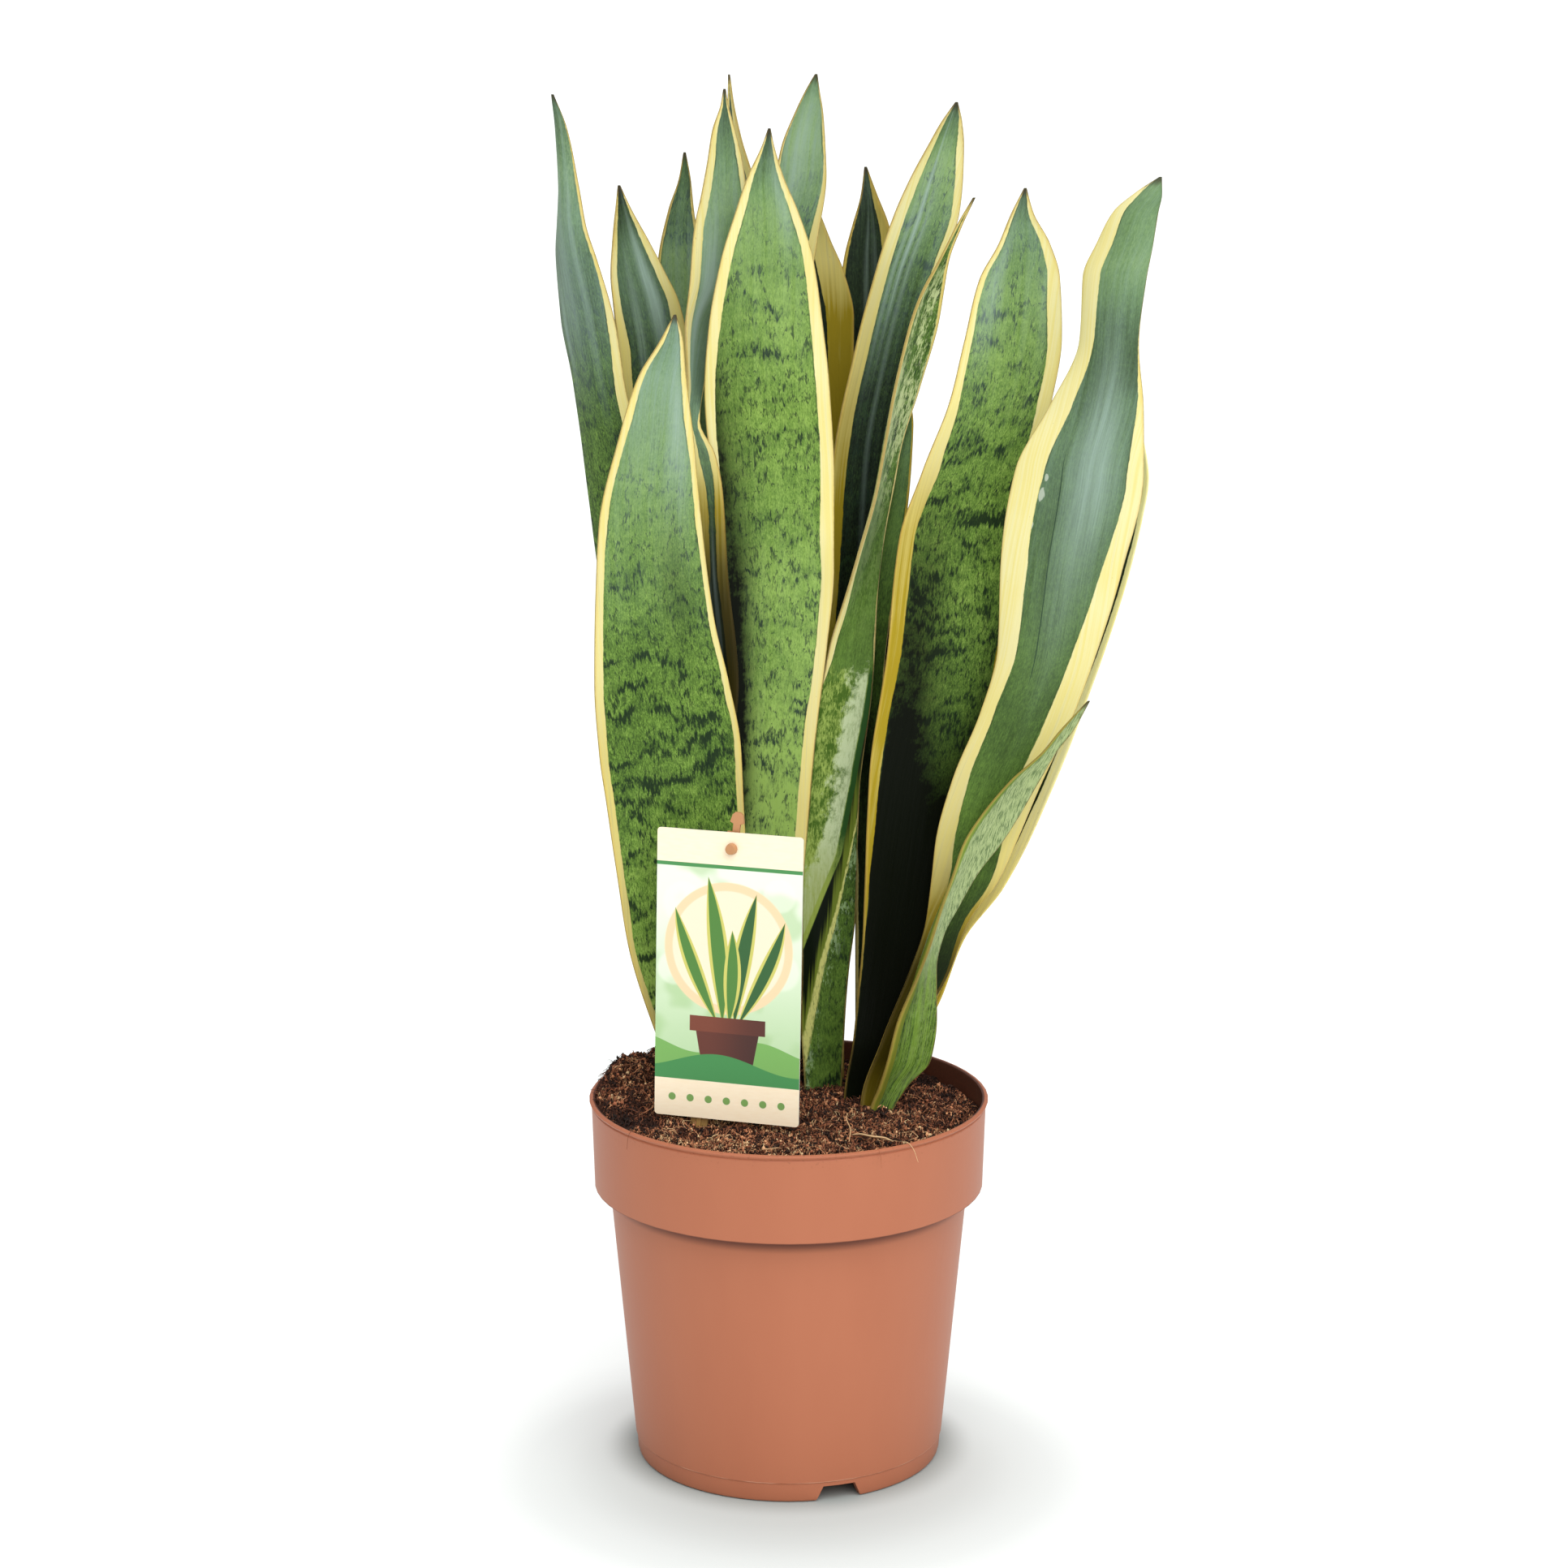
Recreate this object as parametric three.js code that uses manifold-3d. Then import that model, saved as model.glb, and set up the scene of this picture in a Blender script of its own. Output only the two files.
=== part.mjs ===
// A potted snake plant: a plastic nursery pot, its soil, seventeen upright leaves and a label on a stick.
// Millimetres, +Z up. The origin is on the pot's axis, on the ground. The front of the plant faces -Y.
import * as THREE from 'three';
import { mergeVertices } from 'three/addons/utils/BufferGeometryUtils.js';
import Module from 'manifold-3d';

const wasm = await Module();
wasm.setup();

// ---- driving dimensions -------------------------------------------------------------------------------------

const CLEARANCE = 0.35;          // gap left between two pieces that touch
const ROOT_CLEARANCE = 0.55;     // of a leaf in its hole in the soil

// pot
const POT_HEIGHT = 159;
const RIM_RADIUS = 85;           // over the lip bead
const LIP_HEIGHT = 1.5;
const COLLAR_BOTTOM = 120.4;     // sharp lower edge of the plain band under the rim
const COLLAR_RADIUS = 82.9;      // at that edge
const WALL_TOP_RADIUS = 76.5;    // wall just under the band
const FOOT_RADIUS = 65.2;
const FOOT_LINE = 9;             // height of the faint step round the foot
const WALL = 1.7;
const FLOOR_UNDER = 6;           // underside of the raised floor
const FLOOR_TOP = 8;
const FOOT_RING_INNER = 60;
const CENTRE_PAD_RADIUS = 22;    // the floor comes down to the ground in the middle
const POT_SIDES = 60;
const NOTCH_COUNT = 3;           // drain notches in the foot
const NOTCH_FIRST = -71;         // degrees, seen at the front right
const NOTCH_WIDTH = 20;
const NOTCH_HEIGHT = 6.8;
const DRAIN_COUNT = 6;           // drain holes in the floor
const DRAIN_RADIUS = 4;
const DRAIN_CIRCLE = 41;

// soil
const SOIL_LEVEL = 153;
const ROOT_END = 128;            // the leaves reach this far down into the soil
const HOLE_TOP = 200;            // above the highest soil round a leaf

// leaf blade
const BLADE_EDGE = 0.8;          // thickness along the edges and at the tip
const BLADE_MIDDLE = 2.2;
const BLADE_BASE = 3.6;
const LEAF_ROWS = 20;
const LEAF_COLUMNS = 4;          // strips across one face

// label
const CARD_WIDTH = 63.5;
const CARD_HEIGHT = 122.5;
const CARD_THICKNESS = 0.7;
const CARD_CORNER = 1.5;
const CARD_CENTRE = [-25, -33, 220];
const CARD_YAW = -18;            // degrees
const CARD_LEAN = -3;
const PEG_AT = [1, 54.5];        // on the card, from its centre: across and up
const PEG_RADIUS = 1.7;
const PEG_CLEARANCE = 0.5;
const PEG_HEAD_RADIUS = 2.5;
const PEG_HEAD_LENGTH = 2.6;
const STICK_SLANT = 6.6;         // degrees, its top towards +X
const STICK_WIDTH = 7.4;
const STICK_THICKNESS = 1.5;
const STICK_RIB = [2, 0.9];      // rib along its front: width and height
const STICK_BELOW_PEG = 152;
const STICK_ABOVE_PEG = 6.5;

// Each leaf is a stack of level cuts through its blade, from its root in the soil to its tip:
// height, then x and y of the blade's left edge, then x and y of its right edge, as seen from the front.
// hollow is how deep the blade is channelled at the soil and above, with its back bulging to +Y.
const LEAVES = {
  leaf_front_left: { hollow: [5, 2], levels: [
    [ROOT_END, -41, 1, -28, 3], [152, -43, 0, -27, 3], [188, -57, -2, -24, 4], [226, -67.8, -4, -20, 4],
    [261, -72.8, -6, -18, 4], [288, -76.2, -7, -19, 3.5], [310, -79, -8, -20, 3], [338, -80.5, -9, -25, 2],
    [365, -80.2, -10, -31, 1], [406, -78, -10, -36, -1], [440, -70, -8, -39, -2], [467, -61, -5, -42, -1],
    [480, -53, -2, -43, 0], [491, -47, 1, -46, 1]] },
  leaf_front_centre: { hollow: [5, 2], levels: [
    [ROOT_END, -16, 23, -2, 25], [152, -17, 22, -1, 24], [200, -22, 20, 2, 22], [258, -26, 17, 7, 19],
    [307, -28, 16, 11, 18], [349, -29, 16, 16, 18], [383, -30, 17, 19, 18], [418, -32, 18, 19, 19],
    [458, -35, 18, 17, 20], [485, -33, 18, 14, 21], [512, -28, 18, 10, 21], [531, -22, 19, 4, 21],
    [545, -17, 19, -2, 21], [558, -11, 20, -6, 20], [565, -8.5, 20, -7.5, 20]] },
  leaf_centre_left: { hollow: [4, 2], levels: [
    [ROOT_END, -31, 13, -20, 16], [152, -32, 12, -19, 15], [240, -40, 10, -26, 11], [300, -44, 9, -25, 9],
    [320, -45, 9, -22, 9], [335, -46, 8, -21, 9], [384, -46, 7, -25.5, 9], [418, -46, 7, -27.5, 10],
    [432, -45.5, 8, -30.5, 13.5], [445, -45, 9, -37, 18], [460, -42, 14, -35, 30], [483, -43, 23, -28, 39],
    [503, -41, 28, -14, 38], [523, -39, 31, -13, 37], [537, -36, 32, -17, 37], [550, -33.6, 33, -19, 37],
    [563, -31.6, 34, -22, 36], [574, -28, 35, -25, 35], [580, -27, 35, -26, 35]] },
  leaf_far_left: { hollow: [4, -3], levels: [
    [ROOT_END, -50, 16, -39, 19], [152, -51, 16, -38, 18], [240, -62, 27, -36, 22], [310, -72, 36, -40, 24],
    [350, -78, 41, -46, 26], [388, -82.5, 46, -52, 28], [429, -87.3, 50, -61, 30], [456, -90.4, 53, -68, 32],
    [483, -96, 57, -72, 34], [510, -98, 58, -79.8, 38], [523, -97, 56, -84.2, 42], [538, -96, 53, -87, 45],
    [563, -97, 50, -92, 47], [577, -98.5, 48, -97.5, 48]] },
  leaf_left: { hollow: [4, 3], levels: [
    [ROOT_END, -36, 33, -26, 37], [152, -37, 32, -25, 37], [240, -48, 36, -24, 42], [350, -62, 39, -34, 47],
    [430, -68, 42, -40, 53], [470, -71, 42, -42, 55], [490, -73.5, 41, -46, 54], [503, -74.5, 41, -51.8, 52],
    [517, -73.5, 42, -58.8, 49], [530, -72, 42, -65.6, 45], [540, -71, 42, -70, 42]] },
  leaf_left_back: { hollow: [4, 3], levels: [
    [ROOT_END, -24, 48, -13, 51], [152, -25, 48, -13, 51], [240, -35, 53, -18, 56], [300, -44, 57, -22, 61],
    [420, -56, 65, -32, 69], [480, -57, 69, -34, 75], [508, -55, 71, -37.2, 76], [527, -51, 73, -40.2, 76],
    [540, -46.5, 75, -41.5, 76], [551, -44.5, 76, -43.5, 76]] },
  leaf_centre_left_back: { hollow: [4, 2], levels: [
    [ROOT_END, -12, 37, -1, 40], [152, -13, 37, 0, 39], [300, -25, 42, 0, 41], [420, -31, 48, -4, 43],
    [500, -34, 53, -9, 44], [540, -32, 53, -14, 46], [560, -28, 52, -20, 48], [575, -25.5, 51, -23.2, 49],
    [585, -25.2, 50, -24.4, 50]] },
  leaf_tallest: { hollow: [4, 3], levels: [
    [ROOT_END, -6, 53, 5, 56], [152, -7, 52, 5, 56], [240, -12, 53, 9, 59], [300, -14, 55, 11, 62],
    [420, -22, 57, 9, 66], [490, -22, 59, 9, 69], [515, -16, 62, 12.4, 70], [542, -6, 65, 16, 71],
    [555, -3, 66, 15.5, 71], [568, 2.5, 68, 14.5, 71], [577, 7, 69, 13, 71], [584, 11, 70, 12, 70]] },
  leaf_centre_back: { hollow: [3, 3], levels: [
    [ROOT_END, 2, 64, 13, 64], [152, 1, 64, 14, 64], [240, -2, 67, 20, 67], [300, -3, 69, 24, 71],
    [420, -4, 73, 28, 79], [480, -3, 76, 28, 84], [500, 0, 77, 23.5, 84], [513, 3, 78, 18, 83],
    [522, 6, 79, 14.5, 82], [531, 10, 80, 11, 80]] },
  leaf_back_right: { hollow: [3, 4], levels: [
    [ROOT_END, 33, 59, 44, 56], [152, 33, 59, 45, 56], [230, 33, 67, 47, 63], [290, 31, 76, 48, 72],
    [340, 22, 81, 48, 77], [420, 19, 90, 50, 88], [480, 21, 96, 49, 96], [504, 24, 97, 46, 98],
    [518, 27.5, 98, 43, 99], [531, 31, 99, 38, 100], [543, 32.5, 100, 33.5, 100]] },
  leaf_centre_right: { hollow: [4, 4], levels: [
    [ROOT_END, 14, 47, 24, 46], [152, 14, 47, 24, 46], [200, 13, 46, 24.4, 46.5], [250, 12, 45, 27, 47],
    [300, 12, 44, 34, 48], [368, 15, 43, 42, 49], [427, 19, 41, 46, 51], [468, 27, 40, 54, 53],
    [502, 35, 40, 63, 54], [529, 44.2, 41, 71.7, 53], [543, 50.7, 42, 72.8, 51], [556, 57.8, 43, 73, 49],
    [566, 63.5, 44, 72, 47], [574, 69, 45, 70, 45]] },
  leaf_twisted: { hollow: [5, 3], levels: [
    [ROOT_END, 8, 30, 22, 30], [152, 7, 30, 23, 30], [182, 5.5, 30, 24.3, 30], [205, 5.5, 29, 25.8, 30],
    [230, 5.5, 28, 28.7, 30], [283, 9, 26, 30.2, 29], [326, 13, 24, 35, 28], [347, 16.5, 23, 36.5, 30],
    [368, 23, 20, 37.5, 31], [388, 29, 16, 39.5, 32], [416, 37, 15, 44.2, 33], [430, 39.5, 15, 46.7, 34],
    [457, 43.5, 17, 55.2, 35], [484, 50, 22, 62.5, 34], [497, 55, 24, 64.5, 33], [510, 62, 28, 66.5, 31],
    [524, 69, 30, 71.5, 30], [536, 76, 30, 77, 30]] },
  leaf_right_back: { hollow: [3, 1], levels: [
    [ROOT_END, 29, 34, 40, 33], [152, 29, 34, 40, 32], [200, 28.8, 35, 41, 35], [250, 28.4, 36, 42, 37],
    [322, 28, 36, 40, 39], [358, 28, 37, 43, 41], [378, 31, 37, 46, 42], [406, 37, 38, 50.5, 43],
    [425, 41, 39, 52, 43], [440, 46, 40, 52.5, 42], [452, 50, 41, 51, 41]] },
  leaf_right: { hollow: [4, 3], levels: [
    [ROOT_END, 24, 12, 41, 20], [152, 24, 12, 42, 20], [179, 27.8, 13, 50, 21], [236, 31.8, 14, 64, 23],
    [293, 34, 14, 79, 25], [348, 41, 14, 93, 28], [396, 46, 15, 99, 31], [424, 55.7, 17, 103, 32],
    [451, 66, 19, 110, 34], [477, 72.2, 21, 114, 35], [503, 78.7, 24, 112.6, 34], [517, 86.3, 26, 108.2, 32],
    [530, 92, 28, 101, 30], [540, 97, 29, 98, 29]] },
  leaf_far_right: { hollow: [4, -3], levels: [
    [ROOT_END, 31, 6, 42, 8], [152, 31, 6, 43, 8], [180, 39.5, 6.5, 52.5, 8], [210, 51, 8, 68.5, 10],
    [232, 58, 9, 76.5, 11], [250, 60.2, 8, 88.5, 9], [268, 62, 7, 96, 7], [296, 69, 6, 107, 4],
    [324, 80, 6, 119, 1], [351, 87, 6, 128, -2], [386, 88, 7, 137.5, -5], [426, 93.5, 8, 145.5, -7],
    [453, 107.3, 7, 145, -7], [480, 119, 6, 142.5, -7], [506, 120.2, 6, 145, -7], [520, 125.8, 4, 147.5, -6],
    [533, 132.2, 2, 149.5, -4], [541, 141, 0, 151, -2], [547, 150, 0, 151, 0]] },
  leaf_far_right_back: { hollow: [3, 3], levels: [
    [ROOT_END, 39, 26, 45, 24], [152, 39, 26, 46, 24], [175, 46.5, 25.5, 55.5, 23], [192, 53, 25, 64, 21.5],
    [222, 62, 24, 75, 19], [245, 68.5, 23, 91.5, 17], [285, 82, 24, 110, 15], [327, 98, 25, 125, 14],
    [362, 108, 26, 136.8, 14], [404, 121, 26, 147.2, 14], [420, 127, 25, 149.5, 14], [440, 135, 22, 146, 15],
    [456, 141, 18, 142, 18]] },
  leaf_small_front: { hollow: [3, 3], levels: [
    [ROOT_END, 36, 0, 43, 1], [150, 34.5, -1, 44.5, 1], [162, 38.3, -2, 51, 1.5], [173, 41.5, -3, 60.5, 2],
    [192, 46, -4, 63, 1], [213, 54.5, -8, 62.8, 4], [228, 59.5, -11, 65.5, 2], [242, 63.5, -12, 72, 0],
    [257, 68.5, -12, 80, -2], [271, 73, -12, 90, -4], [285, 81, -13, 98, -6], [299, 92, -14, 105, -9],
    [311, 105, -14, 111.5, -11], [320, 112, -14, 118, -12], [333, 123.5, -14, 124.5, -14]] },
};

// ---- materials ----------------------------------------------------------------------------------------------

const finish = (color, roughness) => new THREE.MeshStandardMaterial({ color, roughness, metalness: 0 });
const TERRACOTTA = finish(0xc57c62, 0.5);
const EARTH = finish(0x4a2c1c, 1);
const LEAF_GREEN = finish(0x5f8a45, 0.4);
const CARD_STOCK = finish(0xf1ead2, 0.5);
const STICK_BROWN = finish(0xb5804f, 0.5);

// ---- helpers ------------------------------------------------------------------------------------------------

const radians = THREE.MathUtils.degToRad;
const smooth = (t) => THREE.MathUtils.smoothstep(t, 0, 1);

function solid(geometry) {
  const bare = geometry.index ? geometry.clone() : geometry;
  bare.deleteAttribute('normal');
  bare.deleteAttribute('uv');
  const merged = mergeVertices(bare, 1e-4);
  return new wasm.Manifold(new wasm.Mesh({
    numProp: 3,
    vertProperties: new Float32Array(merged.attributes.position.array),
    triVerts: new Uint32Array(merged.index.array),
  }));
}

function geometryOf(body) {
  const mesh = body.getMesh();
  const geometry = new THREE.BufferGeometry();
  geometry.setAttribute('position', new THREE.BufferAttribute(mesh.vertProperties, 3));
  geometry.setIndex(new THREE.BufferAttribute(mesh.triVerts, 1));
  geometry.computeVertexNormals();
  return geometry;
}

function piece(name, geometry, material) {
  const mesh = new THREE.Mesh(geometry, material);
  mesh.name = name;
  return mesh;
}

// A LatheGeometry turned so that its axis is Z. The points are [radius, height].
function turned(points) {
  const profile = points.map(([r, z]) => new THREE.Vector2(r, z));
  const geometry = new THREE.LatheGeometry(profile, POT_SIDES);
  geometry.rotateX(Math.PI / 2);
  return geometry;
}

// A smooth curve through [x, y] points that never overshoots them.
function curveThrough(xs, ys) {
  const last = xs.length - 1;
  const steps = xs.slice(1).map((x, i) => x - xs[i]);
  const rises = steps.map((h, i) => (ys[i + 1] - ys[i]) / h);
  const slopes = xs.map((x, i) => {
    if (i === 0) return rises[0];
    if (i === last) return rises[last - 1];
    if (rises[i - 1] * rises[i] <= 0) return 0;
    const before = 2 * steps[i] + steps[i - 1];
    const after = steps[i] + 2 * steps[i - 1];
    return (before + after) / (before / rises[i - 1] + after / rises[i]);
  });
  return (x) => {
    let k = 0;
    while (k < last - 1 && x > xs[k + 1]) k += 1;
    const t = (x - xs[k]) / steps[k];
    const start = (2 * t ** 3 - 3 * t ** 2 + 1) * ys[k] + (t ** 3 - 2 * t ** 2 + t) * steps[k] * slopes[k];
    const end = (3 * t ** 2 - 2 * t ** 3) * ys[k + 1] + (t ** 3 - t ** 2) * steps[k] * slopes[k + 1];
    return start + end;
  };
}

// ---- leaves -------------------------------------------------------------------------------------------------

// The point of a leaf at a height, across at -1 (left edge) to 1 (right edge), on its front (-1) or back (1) face.
function bladeSection({ hollow, levels }) {
  const heights = levels.map((level) => level[0]);
  const [leftX, leftY, rightX, rightY] = [1, 2, 3, 4].map((column) =>
    curveThrough(heights, levels.map((level) => level[column])));
  return (z, across, face, grown = 0) => {
    const left = new THREE.Vector2(leftX(z), leftY(z));
    const right = new THREE.Vector2(rightX(z), rightY(z));
    const width = left.distanceTo(right);
    const along = right.clone().sub(left).divideScalar(width);
    const back = new THREE.Vector2(-along.y, along.x);
    const aboveSoil = smooth((z - SOIL_LEVEL + 3) / 120);
    const depth = THREE.MathUtils.lerp(hollow[0], hollow[1], aboveSoil) * Math.min(1, width / 14);
    const point = left.clone().add(right).multiplyScalar(0.5)
      .addScaledVector(along, (across * width) / 2)
      .addScaledVector(back, depth * (1 - across * across));
    const surface = along.clone().multiplyScalar(width / 2).addScaledVector(back, -2 * across * depth).normalize();
    const middle = THREE.MathUtils.lerp(BLADE_BASE, BLADE_MIDDLE, aboveSoil) * Math.min(1, width / 10);
    const bulge = Math.max(middle - BLADE_EDGE, 0) * Math.pow(Math.max(0, 1 - across * across), 0.7);
    const half = (BLADE_EDGE + bulge) / 2 + grown;
    point.x += face * half * -surface.y + Math.sign(across) * grown * along.x * Math.abs(across);
    point.y += face * half * surface.x + Math.sign(across) * grown * along.y * Math.abs(across);
    return [point.x, point.y, z];
  };
}

// A closed blade through rows at the given heights. Both faces are split into triangles along the same lines.
function blade(leaf, rows, grown = 0) {
  const section = bladeSection(leaf);
  const across = Array.from({ length: LEAF_COLUMNS + 1 }, (_, i) => -1 + (2 * i) / LEAF_COLUMNS);
  const ring = 2 * across.length;
  const positions = rows.flatMap((z) => [
    ...across.flatMap((q) => section(z, q, -1, grown)),
    ...across.toReversed().flatMap((q) => section(z, q, 1, grown)),
  ]);
  const index = [];
  for (let row = 0; row < rows.length - 1; row += 1) {
    for (let i = 0; i < ring; i += 1) {
      const [a, b] = [row * ring + i, row * ring + ((i + 1) % ring)];
      const [c, d] = [b + ring, a + ring];
      if (i < LEAF_COLUMNS) index.push(a, b, c, a, c, d);
      else index.push(a, b, d, b, c, d);
    }
  }
  const top = (rows.length - 1) * ring;
  for (let i = 0; i < LEAF_COLUMNS; i += 1) {
    const [a, b, c, d] = [i, i + 1, ring - 2 - i, ring - 1 - i];
    index.push(a, c, b, a, d, c);
    index.push(top + a, top + b, top + c, top + a, top + c, top + d);
  }
  const geometry = new THREE.BufferGeometry();
  geometry.setAttribute('position', new THREE.Float32BufferAttribute(positions, 3));
  geometry.setIndex(index);
  geometry.computeVertexNormals();
  return geometry;
}

// Rows stand closer together towards the tip, where the blade narrows.
function leafRows({ levels }) {
  const tip = levels.at(-1)[0];
  return Array.from({ length: LEAF_ROWS + 1 }, (_, i) => {
    const t = i / LEAF_ROWS;
    return ROOT_END + (tip - ROOT_END) * (1 - (1 - t) ** 1.5);
  });
}

const leaves = Object.entries(LEAVES).map(([name, leaf]) => piece(name, blade(leaf, leafRows(leaf)), LEAF_GREEN));

// ---- pot ----------------------------------------------------------------------------------------------------

function potShell() {
  const insideWallTop = COLLAR_BOTTOM + WALL;
  return turned([
    [0, 0],
    [CENTRE_PAD_RADIUS, 0],
    [CENTRE_PAD_RADIUS + 1, FLOOR_UNDER],
    [FOOT_RING_INNER - 1, FLOOR_UNDER],
    [FOOT_RING_INNER, 0],
    [FOOT_RADIUS - 1.8, 0],
    [FOOT_RADIUS - 0.5, 0.6],
    [FOOT_RADIUS, 2],
    [FOOT_RADIUS + 0.5, FOOT_LINE - 0.4],
    [FOOT_RADIUS + 1, FOOT_LINE],
    [WALL_TOP_RADIUS, COLLAR_BOTTOM],
    [COLLAR_RADIUS, COLLAR_BOTTOM],
    [RIM_RADIUS - 1, POT_HEIGHT - LIP_HEIGHT - 1.4],
    [RIM_RADIUS - 1.5, POT_HEIGHT - LIP_HEIGHT - 0.7],
    [RIM_RADIUS - 0.4, POT_HEIGHT - LIP_HEIGHT],
    [RIM_RADIUS, POT_HEIGHT - LIP_HEIGHT / 2],
    [RIM_RADIUS - 0.6, POT_HEIGHT - 0.3],
    [RIM_RADIUS - 1.4, POT_HEIGHT],
    [RIM_RADIUS - 2.4, POT_HEIGHT - 0.4],
    [RIM_RADIUS - 1 - WALL, POT_HEIGHT - LIP_HEIGHT],
    [COLLAR_RADIUS - WALL, insideWallTop],
    [WALL_TOP_RADIUS - WALL, insideWallTop],
    [FOOT_RADIUS + 0.5 - WALL, FLOOR_TOP],
    [0, FLOOR_TOP],
  ]);
}

function drainNotch(azimuth) {
  const outline = new THREE.Shape([
    new THREE.Vector2(-NOTCH_WIDTH / 2, -2),
    new THREE.Vector2(NOTCH_WIDTH / 2, -2),
    new THREE.Vector2(NOTCH_WIDTH / 2, 0),
    new THREE.Vector2(NOTCH_WIDTH / 2 - 3, NOTCH_HEIGHT),
    new THREE.Vector2(-NOTCH_WIDTH / 2 + 3, NOTCH_HEIGHT),
    new THREE.Vector2(-NOTCH_WIDTH / 2, 0),
  ]);
  const cutter = new THREE.ExtrudeGeometry(outline, { depth: 14, bevelEnabled: false });
  cutter.rotateX(Math.PI / 2);
  cutter.rotateZ(Math.PI / 2);
  cutter.translate(FOOT_RING_INNER - 4, 0, 0);
  cutter.rotateZ(radians(azimuth));
  return solid(cutter);
}

function drainHole(azimuth) {
  const cutter = new THREE.CylinderGeometry(DRAIN_RADIUS, DRAIN_RADIUS, 2 * FLOOR_TOP, 14);
  cutter.rotateX(Math.PI / 2);
  cutter.translate(DRAIN_CIRCLE, 0, FLOOR_TOP);
  cutter.rotateZ(radians(azimuth));
  return solid(cutter);
}

function potBody() {
  let body = solid(potShell());
  for (let i = 0; i < NOTCH_COUNT; i += 1) {
    body = body.subtract(drainNotch(NOTCH_FIRST + (i * 360) / NOTCH_COUNT));
  }
  for (let i = 0; i < DRAIN_COUNT; i += 1) {
    body = body.subtract(drainHole(NOTCH_FIRST + (i * 360) / DRAIN_COUNT));
  }
  return body;
}

// ---- label --------------------------------------------------------------------------------------------------

// The card stands in its own XZ plane and faces -Y. The stick lies behind it, and its peg comes through the card.
function card() {
  const [w, h, r] = [CARD_WIDTH / 2, CARD_HEIGHT / 2, CARD_CORNER];
  const outline = new THREE.Shape();
  outline.moveTo(-w + r, -h);
  outline.lineTo(w - r, -h);
  outline.absarc(w - r, -h + r, r, -Math.PI / 2, 0);
  outline.absarc(w - r, h - r, r, 0, Math.PI / 2);
  outline.absarc(-w + r, h - r, r, Math.PI / 2, Math.PI);
  outline.absarc(-w + r, -h + r, r, Math.PI, 1.5 * Math.PI);
  outline.holes.push(new THREE.Path().absarc(...PEG_AT, PEG_RADIUS + PEG_CLEARANCE, 0, 2 * Math.PI, true));
  const options = { depth: CARD_THICKNESS, bevelEnabled: false, curveSegments: 6 };
  const geometry = new THREE.ExtrudeGeometry(outline, options);
  geometry.rotateX(Math.PI / 2);
  return geometry;
}

function block(width, depth, height, x, y, z) {
  const geometry = new THREE.BoxGeometry(width, depth, height);
  geometry.translate(x, y, z);
  return solid(geometry);
}

// The stick's own origin is on its peg's axis, on the back face of the card, and its length runs along Z.
function stickBody() {
  const front = CLEARANCE;
  const middle = front + STICK_RIB[1] + STICK_THICKNESS / 2;
  const arrow = new THREE.Shape([
    [-1.5, 0], [1.5, 0], [1.5, 4], [3, 4.6], [2.2, 8], [1.2, 9], [-1.2, 9], [-2.2, 8], [-3, 4.6], [-1.5, 4],
  ].map(([x, z]) => new THREE.Vector2(x, z + STICK_ABOVE_PEG - 0.5)));
  const head = new THREE.ExtrudeGeometry(arrow, { depth: STICK_THICKNESS, bevelEnabled: false });
  head.rotateX(Math.PI / 2);
  head.translate(0, middle + STICK_THICKNESS / 2, 0);
  const pegLength = CARD_THICKNESS + 2 * CLEARANCE + STICK_RIB[1] + 0.8;
  const pegShaft = new THREE.CylinderGeometry(PEG_RADIUS, PEG_RADIUS, pegLength, 16);
  pegShaft.translate(0, front + STICK_RIB[1] + 0.5 - pegLength / 2, 0);
  const pegHead = new THREE.CylinderGeometry(PEG_HEAD_RADIUS, PEG_HEAD_RADIUS - 0.4, PEG_HEAD_LENGTH, 16);
  pegHead.translate(0, -CARD_THICKNESS - CLEARANCE - PEG_HEAD_LENGTH / 2, 0);
  const length = STICK_BELOW_PEG + STICK_ABOVE_PEG;
  const centre = STICK_ABOVE_PEG - length / 2;
  return block(STICK_WIDTH, STICK_THICKNESS, length, 0, middle, centre)
    .add(block(STICK_RIB[0], STICK_RIB[1] + 0.2, length - 4, 0, front + STICK_RIB[1] / 2 + 0.1, centre - 2))
    .add(solid(head))
    .add(solid(pegShaft))
    .add(solid(pegHead));
}

const label = new THREE.Group();
label.position.set(...CARD_CENTRE);
label.rotation.set(radians(CARD_LEAN), 0, radians(CARD_YAW), 'ZXY');
const stick = piece('label_stick', geometryOf(stickBody()), STICK_BROWN);
stick.position.set(PEG_AT[0], 0, PEG_AT[1]);
stick.rotation.y = radians(STICK_SLANT);
label.add(piece('label_card', card(), CARD_STOCK), stick);
label.updateMatrixWorld(true);

// ---- soil ---------------------------------------------------------------------------------------------------

// Height of the soil: heaped up at the back left, with a dip at the front left and slight lumps.
function soilHeight(x, y) {
  const heap = 9 * Math.exp(-((x + 60) ** 2 + (y - 34) ** 2) / 38 ** 2);
  const dip = 3 * Math.exp(-((x + 67) ** 2 + (y + 30) ** 2) / 14 ** 2);
  const lumps = 0.9 * Math.sin(x / 9 + 1) * Math.cos(y / 11) + 0.6 * Math.sin(x / 5 - y / 6);
  return SOIL_LEVEL + heap - dip + lumps - 0.035 * x - 0.02 * y;
}

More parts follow.
